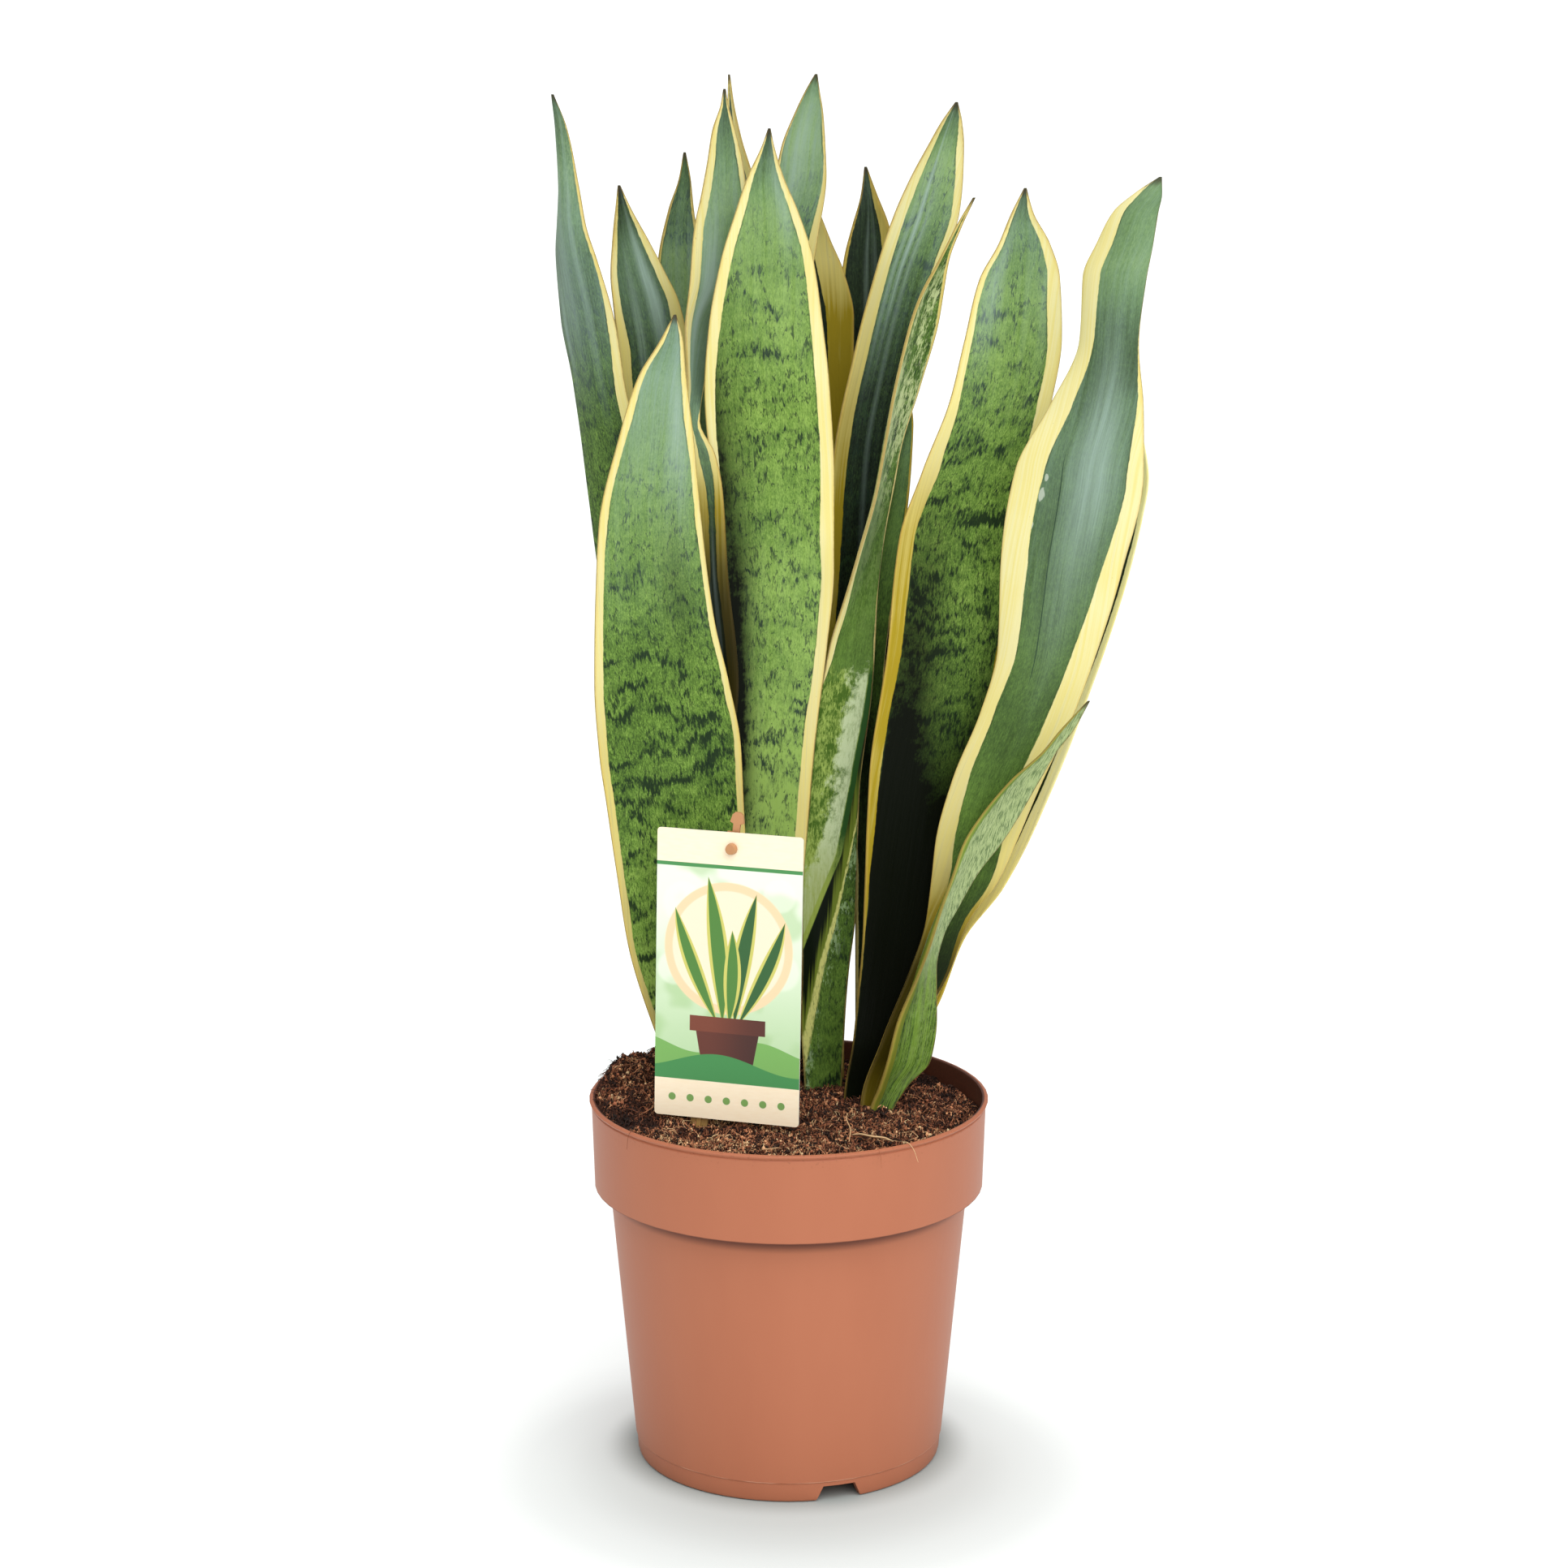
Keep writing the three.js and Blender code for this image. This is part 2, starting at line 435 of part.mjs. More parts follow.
// The soil fills the pot: rings of its uneven top, then its side down the pot's inner wall, then its flat bottom.
function soilBody() {
  const fractions = [0.15, 0.32, 0.5, 0.66, 0.81, 0.92, 1];
  const edge = COLLAR_RADIUS + 0.8 - WALL - CLEARANCE;
  const ledge = COLLAR_BOTTOM + WALL + CLEARANCE;
  const side = [
    [COLLAR_RADIUS - WALL - CLEARANCE, ledge],
    [WALL_TOP_RADIUS - WALL - CLEARANCE, ledge],
    [FOOT_RADIUS + 0.5 - WALL - CLEARANCE, FLOOR_TOP + CLEARANCE],
  ];
  const positions = [0, 0, soilHeight(0, 0)];
  const addRing = (radius, height) => {
    for (let i = 0; i < POT_SIDES; i += 1) {
      const angle = (2 * Math.PI * i) / POT_SIDES;
      const [x, y] = [radius * Math.sin(angle), radius * -Math.cos(angle)];
      positions.push(x, y, height ?? soilHeight(x, y));
    }
  };
  fractions.forEach((fraction) => addRing(fraction * edge));
  side.forEach(([radius, height]) => addRing(radius, height));
  positions.push(0, 0, FLOOR_TOP + CLEARANCE);
  const index = [];
  const rings = fractions.length + side.length;
  for (let i = 0; i < POT_SIDES; i += 1) {
    const next = (i + 1) % POT_SIDES;
    index.push(0, 1 + i, 1 + next);
    for (let ring = 0; ring < rings - 1; ring += 1) {
      const [inner, outer] = [1 + ring * POT_SIDES, 1 + (ring + 1) * POT_SIDES];
      index.push(inner + i, outer + i, outer + next, inner + i, outer + next, inner + next);
    }
    const last = 1 + (rings - 1) * POT_SIDES;
    index.push(last + i, 1 + rings * POT_SIDES, last + next);
  }
  const geometry = new THREE.BufferGeometry();
  geometry.setAttribute('position', new THREE.Float32BufferAttribute(positions, 3));
  geometry.setIndex(index);
  return solid(geometry);
}

// Each leaf and the stick stand in a plain hole of their own shape.
function plantedSoil() {
  let body = soilBody();
  for (const leaf of Object.values(LEAVES)) {
    const rows = leafRows(leaf).filter((z) => z < HOLE_TOP);
    rows[0] -= CLEARANCE;
    body = body.subtract(solid(blade(leaf, rows, ROOT_CLEARANCE)));
  }
  const socket = new THREE.BoxGeometry(STICK_WIDTH + 2 * CLEARANCE, 3.2, 60);
  socket.translate(0, CLEARANCE + 1.3, -STICK_BELOW_PEG + 30 - CLEARANCE);
  socket.applyMatrix4(stick.matrixWorld);
  return body.subtract(solid(socket));
}

// ---- plant --------------------------------------------------------------------------------------------------

const group = new THREE.Group();
group.add(piece('pot', geometryOf(potBody()), TERRACOTTA));
group.add(piece('soil', geometryOf(plantedSoil()), EARTH));
group.add(...leaves);
group.add(label);

export default group;
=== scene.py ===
# %% [markdown]
# # A potted snake plant
# Seventeen stiff leaves stand in brown coir soil, in a plastic nursery pot, with a care card on a stick in front.
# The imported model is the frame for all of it. The pot, the card and the stick already have their real shape there,
# so they only get soft edges and a finish. The leaves and the soil are coarse solids in the frame, and here finer
# pieces of the same form stand for them.

import math

import bpy
import numpy as np
from mathutils import Matrix, Vector, noise


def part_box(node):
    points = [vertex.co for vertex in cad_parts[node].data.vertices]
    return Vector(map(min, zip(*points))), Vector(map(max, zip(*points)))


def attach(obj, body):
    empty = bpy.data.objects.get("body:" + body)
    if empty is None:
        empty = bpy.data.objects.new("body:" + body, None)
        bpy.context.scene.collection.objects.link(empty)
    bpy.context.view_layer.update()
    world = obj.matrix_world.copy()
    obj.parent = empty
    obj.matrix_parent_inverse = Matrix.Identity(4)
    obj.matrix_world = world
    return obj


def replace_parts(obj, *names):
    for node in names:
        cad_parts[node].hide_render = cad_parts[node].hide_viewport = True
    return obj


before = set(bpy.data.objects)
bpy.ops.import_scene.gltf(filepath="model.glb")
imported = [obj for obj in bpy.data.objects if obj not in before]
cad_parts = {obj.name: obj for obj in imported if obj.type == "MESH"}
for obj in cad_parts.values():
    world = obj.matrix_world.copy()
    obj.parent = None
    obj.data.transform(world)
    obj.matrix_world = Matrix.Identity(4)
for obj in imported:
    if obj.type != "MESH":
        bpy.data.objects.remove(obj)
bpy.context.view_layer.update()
MM = 0.001
print("nodes in the frame:", len(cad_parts))

# %% [markdown]
# ## Camera
# The photograph was taken with a long lens from about 1.7 m away, looking a little down. The pot's outline gives
# the lens and the place, since a pot's rim and foot are circles of known size.

# %% Place the camera
PHOTO_WIDTH = 1932
FOCAL_LENGTH_PIXELS = 5090.4
SENSOR_WIDTH = 36
EYE = Vector((-2, -1685.2, 686.1)) * MM
LOOK_DOWN = 13.08

camera = bpy.data.cameras.new("camera")
camera.sensor_width = SENSOR_WIDTH
camera.lens = FOCAL_LENGTH_PIXELS / PHOTO_WIDTH * SENSOR_WIDTH
viewer = bpy.data.objects.new("viewer", camera)
viewer.location = EYE
viewer.rotation_euler.x = math.radians(90 - LOOK_DOWN)
bpy.context.scene.collection.objects.link(viewer)
bpy.context.scene.camera = viewer
bpy.context.scene.view_settings.view_transform = "Standard"
print(f"lens {camera.lens:.1f} mm")

# %% [markdown]
# ## Light
# The picture is a plain catalogue shot: a white sweep, light from everywhere, and a broad softbox in front, above
# and a little to the right. A white world gives the light from everywhere. Two suns are better than area lamps for
# the rest, because they light the whole floor evenly, and a wide angle makes their shadows as soft as those of a
# large lamp.

# %% Light the scene
WORLD_STRENGTH = 0.46
SUNS = {
    "softbox_front": {"turn": (46, 0, 20), "strength": 2.35, "softness": 60},
    "softbox_above": {"turn": (14, 0, -30), "strength": 0.6, "softness": 60},
}

world = bpy.data.worlds.new("studio")
world.use_nodes = True
world.node_tree.nodes["Background"].inputs["Color"].default_value = (1, 1, 1, 1)
world.node_tree.nodes["Background"].inputs["Strength"].default_value = WORLD_STRENGTH
bpy.context.scene.world = world
for name, sun in SUNS.items():
    lamp = bpy.data.lights.new(name, "SUN")
    lamp.energy = sun["strength"]
    lamp.angle = math.radians(sun["softness"])
    holder = bpy.data.objects.new(name, lamp)
    holder.rotation_euler = [math.radians(a) for a in sun["turn"]]
    bpy.context.scene.collection.objects.link(holder)
print("lamps:", ", ".join(SUNS))

# %% [markdown]
# ## Shader sums
# A finish is a graph of shader nodes. Written as sums in Python it stays readable: a `Wire` is one socket, and
# each operator on it adds the Math node that does the sum. A `Finish` holds the material and adds every other
# node.


# %% Define Wire and Finish
class Wire:
    """A socket that gives a value over the surface. Python's operators on it add Math nodes."""

    def __init__(self, finish, socket):
        self.finish, self.socket = finish, socket

    def sum(self, operation, *values):
        return self.finish.node("Math", values, operation=operation)

    def __add__(self, other):
        return self.sum("ADD", self, other)

    def __sub__(self, other):
        return self.sum("SUBTRACT", self, other)

    def __rsub__(self, other):
        return self.sum("SUBTRACT", other, self)

    def __mul__(self, other):
        return self.sum("MULTIPLY", self, other)

    def __truediv__(self, other):
        return self.sum("DIVIDE", self, other)

    def __abs__(self):
        return self.sum("ABSOLUTE", self)

    __radd__, __rmul__ = __add__, __mul__


class Finish:
    """A material with a Principled shader. Its node method adds any node and returns one of its outputs."""

    def __init__(self, name, **shader_values):
        self.material = bpy.data.materials.new(name)
        self.material.use_nodes = True
        self.shader = self.material.node_tree.nodes["Principled BSDF"]
        for socket, value in shader_values.items():
            self.shader.inputs[socket.replace("_", " ")].default_value = value

    def node(self, kind, inputs=(), output=0, stops=None, **settings):
        made = self.material.node_tree.nodes.new("ShaderNode" + kind)
        for setting, value in settings.items():
            setattr(made, setting, value)
        if stops:
            self.set_stops(made.color_ramp, stops)
        sockets = [s for s in made.inputs if s.enabled]
        for key, value in inputs.items() if isinstance(inputs, dict) else enumerate(inputs):
            socket = sockets[key] if isinstance(key, int) else next(s for s in sockets if s.name == key)
            self.connect(socket, value)
        outputs = [s for s in made.outputs if s.enabled]
        return Wire(self, outputs[output] if isinstance(output, int) else made.outputs[output])

    def set_stops(self, ramp, stops):
        while len(ramp.elements) < len(stops):
            ramp.elements.new(0.5)
        for element, (position, color) in zip(ramp.elements, stops):
            element.position, element.color = position, color

    def connect(self, socket, value):
        if isinstance(value, Wire):
            self.material.node_tree.links.new(value.socket, socket)
        else:
            socket.default_value = value

    def feed(self, **wires):
        for socket, wire in wires.items():
            self.connect(self.shader.inputs[socket.replace("_", " ")], wire)

    def mix(self, factor, under, over):
        return self.node("Mix", [factor, under, over], data_type="RGBA")

    def above(self, value, low, high):
        """0 where the value is below low, 1 above high, and smooth between them."""
        inputs = {"Value": value, "From Min": low, "From Max": high}
        return self.node("MapRange", inputs, interpolation_type="SMOOTHSTEP")

    def grain(self, place, size, detail=2.0, roughness=0.5):
        """Noise from 0 to 1 whose grains have this size along each axis of place."""
        stretched = self.node("VectorMath", [place, [1 / s for s in size]], operation="MULTIPLY")
        inputs = {"Vector": stretched, "Scale": 1.0, "Detail": detail, "Roughness": roughness}
        return self.node("TexNoise", inputs)

    def bump(self, height, strength, distance):
        self.feed(Normal=self.node("Bump", {"Height": height, "Strength": strength, "Distance": distance}))


def shade(red, green, blue):
    """A colour as a screen shows it, 0 to 255, in the linear values that shaders take."""
    srgb = [channel / 255 for channel in (red, green, blue)]
    return (*[c / 12.92 if c <= 0.04045 else ((c + 0.055) / 1.055) ** 2.4 for c in srgb], 1)


print("a mid green is", [round(c, 3) for c in shade(95, 140, 75)])

# %% [markdown]
# ## Floor
# A studio sweep is white paper under so much light that only the place right by the pot's foot stays grey. The
# paper here gives part of its light itself, least near the pot and in front of it, so ramps over the distance set
# that shade. A very large plane serves, because the camera looks down enough never to see its end.

# %% Lay the floor
FLOOR_HALF = 40
SHADE_CENTRE = (0, -30, 0)
SHADE_REACH = 190
PAPER_GLOW = [(50, 0.24), (60, 0.26), (76, 0.32), (96, 0.43),
              (112, 0.49), (131, 0.61), (150, 0.69), (190, 0.74)]
paper = Finish("white_paper", Roughness=0.9, Emission_Strength=1.0)
paper_place = paper.node("TexCoord", output="Object")
from_shade = paper.node("VectorMath", [paper_place, [-c * MM for c in SHADE_CENTRE]], operation="ADD")
from_pot, reach = (paper.node("VectorMath", [vector], output="Value", operation="LENGTH") / MM
                   for vector in (paper_place, from_shade))
glow_stops = [(distance / SHADE_REACH, (grey, grey, grey, 1)) for distance, grey in PAPER_GLOW]
glow = paper.node("ValToRGB", [reach / SHADE_REACH], stops=glow_stops)
fleck = paper.grain(paper_place, (0.4, 0.4, 0.4))
paper.feed(Base_Color=paper.mix(fleck, shade(161, 168, 165), shade(165, 172, 169)),
           Emission_Color=paper.mix(paper.above(from_pot, 61, 82), shade(0, 0, 0), glow))
floor_mesh = bpy.data.meshes.new("floor")
corners = [(x * FLOOR_HALF, y * FLOOR_HALF, 0) for x, y in ((-1, -1), (1, -1), (1, 1), (-1, 1))]
floor_mesh.from_pydata(corners, [], [(0, 1, 2, 3)])
floor_mesh.materials.append(paper.material)
floor = bpy.data.objects.new("floor", floor_mesh)
bpy.context.scene.collection.objects.link(floor)
print("floor", 2 * FLOOR_HALF, "m across")

# %% [markdown]
# ## Making a piece
# All new pieces are meshes made from arrays of points, in millimetres, with a few values stored on each point. A
# shader reads those values by name, so the finish follows the shape however the leaf bends.


# %% Define the mesh helper
def make_piece(name, points, faces, finish, values=None):
    """A smooth mesh that rides on the body. values are {name: (kind, array)} on its points."""
    mesh = bpy.data.meshes.new(name)
    mesh.from_pydata(np.asarray(points, float) * MM, [], faces)
    mesh.polygons.foreach_set("use_smooth", [True] * len(mesh.polygons))
    for value_name, (kind, array) in (values or {}).items():
        layer = mesh.attributes.new(value_name, kind, "POINT")
        field = {"FLOAT": "value", "FLOAT_VECTOR": "vector", "FLOAT_COLOR": "color"}[kind]
        layer.data.foreach_set(field, np.asarray(array, np.float32).ravel())
    mesh.materials.append(finish.material)
    piece = bpy.data.objects.new(name, mesh)
    bpy.context.scene.collection.objects.link(piece)
    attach(piece, "root")
    return piece


def smooth_step(x):
    x = np.clip(x, 0, 1)
    return x * x * (3 - 2 * x)


def curve_through(xs, ys):
    """A smooth curve through points that never overshoots them, as a function of x."""
    xs, ys = np.asarray(xs, float), np.asarray(ys, float)
    steps = np.diff(xs)
    rises = np.diff(ys) / steps
    slopes = np.zeros(len(xs))
    slopes[0], slopes[-1] = rises[0], rises[-1]
    before, after = 2 * steps[1:] + steps[:-1], steps[1:] + 2 * steps[:-1]
    for i in range(1, len(xs) - 1):
        if rises[i - 1] * rises[i] > 0:
            weights = before[i - 1], after[i - 1]
            slopes[i] = sum(weights) / (weights[0] / rises[i - 1] + weights[1] / rises[i])

    def curve(x):
        k = np.clip(np.searchsorted(xs, x) - 1, 0, len(xs) - 2)
        t = (x - xs[k]) / steps[k]
        start = (2 * t**3 - 3 * t**2 + 1) * ys[k] + (t**3 - 2 * t**2 + t) * steps[k] * slopes[k]
        return start + (3 * t**2 - 2 * t**3) * ys[k + 1] + (t**3 - t**2) * steps[k] * slopes[k + 1]

    return curve


print("a curve through (0, 0), (1, 1), (2, 1) at 0.5:", curve_through([0, 1, 2], [0, 1, 1])(0.5))

# %% [markdown]
# ## The leaves
# A snake plant's leaf is a stiff strap, channelled like a gutter, with a thin edge and an awl-shaped tip. It could
# be sculpted, but stacking level cuts through the blade is exact: each row below gives a height, then x and y of
# the left edge and x and y of the right edge. `trim` gives the width of the pale margin at the left and right edge
# by height. `look` gives by height how light the green is, how much blue-grey bloom lies on it, how strong its
# dark cross-bands are, and how much pale mottling it has, each from 0 to 1. Its low lights are partly the leaf's
# own dark green and partly painted shade, deep in the clump, and its bloom also stands in for the soft reflection
# of the light on the upper parts. `gold` gives how deep a yellow the margin is. Each sheen is a lengthwise pale
# streak, mostly a painted highlight of the light on the wax: its height and half its length in mm, its place and
# half its width across (-1 to 1), and its strength. Each `shadow` is a painted shadow given in the same way, and
# `dusk` is painted shade that darkens the whole leaf by height, where the clump is deep. The twisted leaf also has
# a `valley` and a `ridge`, its fold's two lines, as places across by height.

# %% List the leaves
ROOT_END = 128
LEAVES = {
    "leaf_front_left": {"hollow": (5, 2), "levels": [
        (ROOT_END, -41, 1, -28, 3), (152, -43, 0, -27, 3), (188, -57, -2, -24, 4), (226, -67.8, -4, -20, 4),
        (261, -72.8, -6, -18, 4), (288, -76.2, -7, -19, 3.5), (310, -79, -8, -20, 3), (338, -80.5, -9, -25, 2),
        (365, -80.2, -10, -31, 1), (406, -78, -10, -36, -1), (440, -70, -8, -39, -2), (467, -61, -5, -42, -1),
        (480, -53, -2, -43, 0), (491, -47, 1, -46, 1)],
        "trim": [(128, 2, 2.4), (200, 2.6, 2.6), (260, 3.2, 2.8), (300, 3.6, 3.0), (335, 3.8, 2.6),
                 (370, 3.6, 2.2), (400, 3.2, 2.2), (450, 3.2, 2.7), (480, 1.6, 1.2), (491, 0, 0)],
        "look": [(128, .8, 0, .5, 0), (200, .98, 0, .45, 0), (235, .8, 0, .7, 0), (270, .72, 0, .9, 0),
                 (312, .64, 0, .95, 0), (335, .72, 0, .8, 0), (355, .66, .03, .7, 0), (380, .7, .12, .55, 0),
                 (400, .78, .2, .4, 0), (430, .8, .45, .15, 0), (465, .84, .9, .02, 0), (484, .6, .75, 0, 0),
                 (491, .4, .8, 0, 0)],
        "gold": [(128, .6), (260, .5), (310, .45), (345, .2), (491, .1)],
        "sheen": [(445, 30, .6, .2, .5)],
        "shadow": [(378, 26, .4, .3, .35)]},
    "leaf_front_centre": {"hollow": (5, 2), "levels": [
        (ROOT_END, -16, 23, -2, 25), (152, -17, 22, -1, 24), (200, -22, 20, 2, 22), (258, -26, 17, 7, 19),
        (307, -28, 16, 11, 18), (349, -29, 16, 16, 18), (383, -30, 17, 19, 18), (418, -32, 18, 19, 19),
        (458, -35, 18, 17, 20), (485, -33, 18, 14, 21), (512, -28, 18, 10, 21), (531, -22, 19, 4, 21),
        (545, -17, 19, -2, 21), (558, -11, 20, -6, 20), (565, -8.5, 20, -7.5, 20)],
        "trim": [(128, 2, 4), (240, 3, 5), (300, 3, 5), (350, 3, 4.5), (400, 3.6, 6), (440, 3.7, 5.6),
                 (465, 4.3, 5.4), (500, 5, 4.5), (535, 3.5, 3), (552, 1.5, 1.5), (565, 0, 0)],
        "look": [(128, .9, .08, .4, 0), (250, 1.14, .08, .4, 0), (285, 1.2, .08, .38, 0),
                 (305, 1.02, .08, .42, 0), (340, .84, .08, .42, 0), (380, .86, .08, .48, 0),
                 (410, .8, .05, .45, 0), (450, .8, .02, .52, 0), (490, .82, .12, .26, 0),
                 (530, .82, .3, .12, 0), (552, .5, .4, 0, 0), (565, .2, .2, 0, 0)],
        "gold": [(128, .4), (300, .25), (350, .2), (378, .22), (400, .06), (565, .05)],
        "sheen": [(535, 18, .55, .22, .4)],
        "shadow": [(350, 90, -.74, .36, 1.05), (440, 40, -.86, .14, .5), (290, 50, -.7, .3, .55)]},
    "leaf_centre_left": {"hollow": (4, 2), "levels": [
        (ROOT_END, -31, 13, -20, 16), (152, -32, 12, -19, 15), (240, -40, 10, -26, 11), (300, -44, 9, -25, 9),
        (320, -45, 9, -22, 9), (335, -46, 8, -21, 9), (384, -46, 7, -25.5, 9), (418, -46, 7, -27.5, 10),
        (432, -45.5, 8, -30.5, 13.5), (445, -45, 9, -37, 18), (460, -42, 14, -35, 30), (483, -43, 23, -28, 39),
        (503, -41, 28, -14, 38), (523, -39, 31, -13, 37), (537, -36, 32, -17, 37), (550, -33.6, 33, -19, 37),
        (563, -31.6, 34, -22, 36), (574, -28, 35, -25, 35), (580, -27, 35, -26, 35)],
        "trim": [(128, 5, 3), (300, 9, 3.4), (345, 12, 4), (385, 13.5, 4), (405, 13, 3.6), (418, 12, 3),
                 (432, 9, 2.6), (450, 7.4, .6), (467, 3.4, 1.5), (503, 4.5, 2), (540, 3.6, 2.2),
                 (565, 1.8, 1.2), (580, 0, 0)],
        "look": [(128, .3, .02, .2, 0), (300, .36, .02, .2, 0), (385, .36, .02, .2, 0), (405, .36, .06, .2, 0),
                 (430, .46, .25, .1, 0), (460, .6, .7, .05, 0), (485, .74, .7, .05, 0), (503, .76, .6, .05, 0),
                 (540, .78, .6, .1, 0), (580, .3, .3, 0, 0)],
        "gold": [(128, 1), (390, 1), (408, .9), (425, .5), (445, .15), (503, .1), (580, .1)],
        "sheen": [(498, 26, -.4, .22, .95), (352, 30, .47, .022, 2.5), (368, 34, .25, .03, 1.2)],
        "shadow": [(200, 90, 0, 2, .8)],
        "dusk": [(128, .9), (350, .94), (372, .9), (386, .8), (400, .55), (414, .2), (425, 0)]},
    "leaf_far_left": {"hollow": (4, -3), "levels": [
        (ROOT_END, -50, 16, -39, 19), (152, -51, 16, -38, 18), (240, -62, 27, -36, 22), (310, -72, 36, -40, 24),
        (350, -78, 41, -46, 26), (388, -82.5, 46, -52, 28), (429, -87.3, 50, -61, 30), (456, -90.4, 53, -68, 32),
        (483, -96, 57, -72, 34), (510, -98, 58, -79.8, 38), (523, -97, 56, -84.2, 42), (538, -96, 53, -87, 45),
        (563, -97, 50, -92, 47), (577, -98.5, 48, -97.5, 48)],
        "trim": [(128, 0, 3), (380, 0, 4), (440, 0, 5), (480, 0, 3.2), (505, 0, 1.6), (530, 0, 1), (560, 0, .5),
                 (577, 0, 0)],
        "look": [(128, .46, 0, .9, 0), (400, .58, 0, .72, 0), (440, .56, .05, .68, 0), (465, .5, .24, .55, 0),
                 (490, .46, .5, .4, 0), (510, .54, .62, .15, 0), (545, .68, .55, .05, .15), (577, .4, .4, 0, 0)],
        "gold": [(128, .3), (470, .1), (577, .5)],
        "sheen": [(500, 32, -.3, .3, .35), (515, 45, .3, .12, .4), (478, 20, -.7, .1, .4)]},
    "leaf_left": {"hollow": (4, 3), "levels": [
        (ROOT_END, -36, 33, -26, 37), (152, -37, 32, -25, 37), (240, -48, 36, -24, 42), (350, -62, 39, -34, 47),
        (430, -68, 42, -40, 53), (470, -71, 42, -42, 55), (490, -73.5, 41, -46, 54), (503, -74.5, 41, -51.8, 52),
        (517, -73.5, 42, -58.8, 49), (530, -72, 42, -65.6, 45), (540, -71, 42, -70, 42)],
        "trim": [(128, 3, 3), (400, 4, 5), (470, 5, 6), (495, 3.5, 4.5), (515, 2.5, 3), (530, .8, 1), (540, 0, 0)],
        "look": [(128, .3, 0, .5, 0), (430, .3, .05, .6, 0), (460, .32, .1, .5, 0), (490, .4, .3, .15, 0),
                 (515, .44, .34, 0, 0), (530, .3, .1, 0, 0), (540, .1, .1, 0, 0)],
        "gold": [(128, .6), (470, .5), (500, .15), (540, .1)],
        "sheen": [(496, 26, .32, .17, .75), (480, 30, -.3, .12, .3)]},
    "leaf_left_back": {"hollow": (4, 3), "levels": [
        (ROOT_END, -24, 48, -13, 51), (152, -25, 48, -13, 51), (240, -35, 53, -18, 56), (300, -44, 57, -22, 61),
        (420, -56, 65, -32, 69), (480, -57, 69, -34, 75), (508, -55, 71, -37.2, 76), (527, -51, 73, -40.2, 76),
        (540, -46.5, 75, -41.5, 76), (551, -44.5, 76, -43.5, 76)],
        "trim": [(128, 2, 2), (480, 1, 1.2), (520, .5, .8), (551, 0, 0)],
        "look": [(128, .25, .1, .3, 0), (460, .7, .5, .4, 0), (490, .9, .75, .2, 0), (508, .9, .75, .15, 0),
                 (518, .6, .5, .3, 0), (528, .5, .4, .3, 0), (551, .4, .1, 0, 0)],
        "gold": [(128, .4), (551, .4)]},
    "leaf_centre_left_back": {"hollow": (4, 2), "levels": [
        (ROOT_END, -12, 37, -1, 40), (152, -13, 37, 0, 39), (300, -25, 42, 0, 41), (420, -31, 48, -4, 43),
        (500, -34, 53, -9, 44), (540, -32, 53, -14, 46), (560, -28, 52, -20, 48), (575, -25.5, 51, -23.2, 49),
        (585, -25.2, 50, -24.4, 50)],
        "trim": [(128, 3, 3), (500, 4, 4.5), (555, 2.5, 3), (575, 1, 1.2), (585, 0, 0)],
        "look": [(128, .2, .2, .3, 0), (500, .42, .4, .2, 0), (585, .3, .4, 0, 0)],
        "gold": [(128, .8), (500, .3), (585, .2)]},
    "leaf_tallest": {"hollow": (4, 3), "levels": [
        (ROOT_END, -6, 53, 5, 56), (152, -7, 52, 5, 56), (240, -12, 53, 9, 59), (300, -14, 55, 11, 62),
        (420, -22, 57, 9, 66), (490, -22, 59, 9, 69), (515, -16, 62, 12.4, 70), (542, -6, 65, 16, 71),
        (555, -3, 66, 15.5, 71), (568, 2.5, 68, 14.5, 71), (577, 7, 69, 13, 71), (584, 11, 70, 12, 70)],
        "trim": [(128, 3, 3), (420, 3, 4.5), (500, 3, 4.5), (530, 2, 2.5), (550, .6, .8), (584, 0, 0)],
        "look": [(128, .2, .1, .3, 0), (460, .4, .2, .4, 0), (510, .52, .34, .3, 0), (535, .74, .5, .2, 0),
                 (556, 1, .8, .05, 0), (570, .95, .8, .05, 0), (584, .5, .3, 0, 0)],
        "gold": [(128, .8), (500, .35), (540, .2), (584, .2)],
        "sheen": [(545, 34, -.15, .3, .35)]},
    "leaf_centre_back": {"hollow": (3, 3), "levels": [
        (ROOT_END, 2, 64, 13, 64), (152, 1, 64, 14, 64), (240, -2, 67, 20, 67), (300, -3, 69, 24, 71),
        (420, -4, 73, 28, 79), (480, -3, 76, 28, 84), (500, 0, 77, 23.5, 84), (513, 3, 78, 18, 83),
        (522, 6, 79, 14.5, 82), (531, 10, 80, 11, 80)],
        "trim": [(128, 3, 3), (400, 4, 7), (450, 4, 10.5), (490, 3, 12), (505, 2, 10.5), (513, 2, 8), (531, 1, 1)],
        "look": [(128, .1, 0, .2, 0), (531, .12, .05, .1, 0)],
        "gold": [(128, 1), (450, 1.2), (478, 1.25), (492, .8), (505, .45), (531, .35)],
        "shadow": [(470, 40, .5, .6, .35)],
        "dusk": [(128, .3), (470, .14), (500, .05), (531, 0)]},
    "leaf_back_right": {"hollow": (3, 4), "levels": [
        (ROOT_END, 33, 59, 44, 56), (152, 33, 59, 45, 56), (230, 33, 67, 47, 63), (290, 31, 76, 48, 72),
        (340, 22, 81, 48, 77), (420, 19, 90, 50, 88), (480, 21, 96, 49, 96), (504, 24, 97, 46, 98),
        (518, 27.5, 98, 43, 99), (531, 31, 99, 38, 100), (543, 32.5, 100, 33.5, 100)],
        "trim": [(128, 2, 3), (480, 2, 5), (504, 1, 5), (525, .5, 3), (543, 0, 0)],
        "look": [(128, .05, .0, .1, 0), (480, .1, .04, .05, 0), (520, .16, .08, .05, 0), (543, .2, .2, 0, 0)],
        "gold": [(128, 1), (500, .8), (543, .6)],
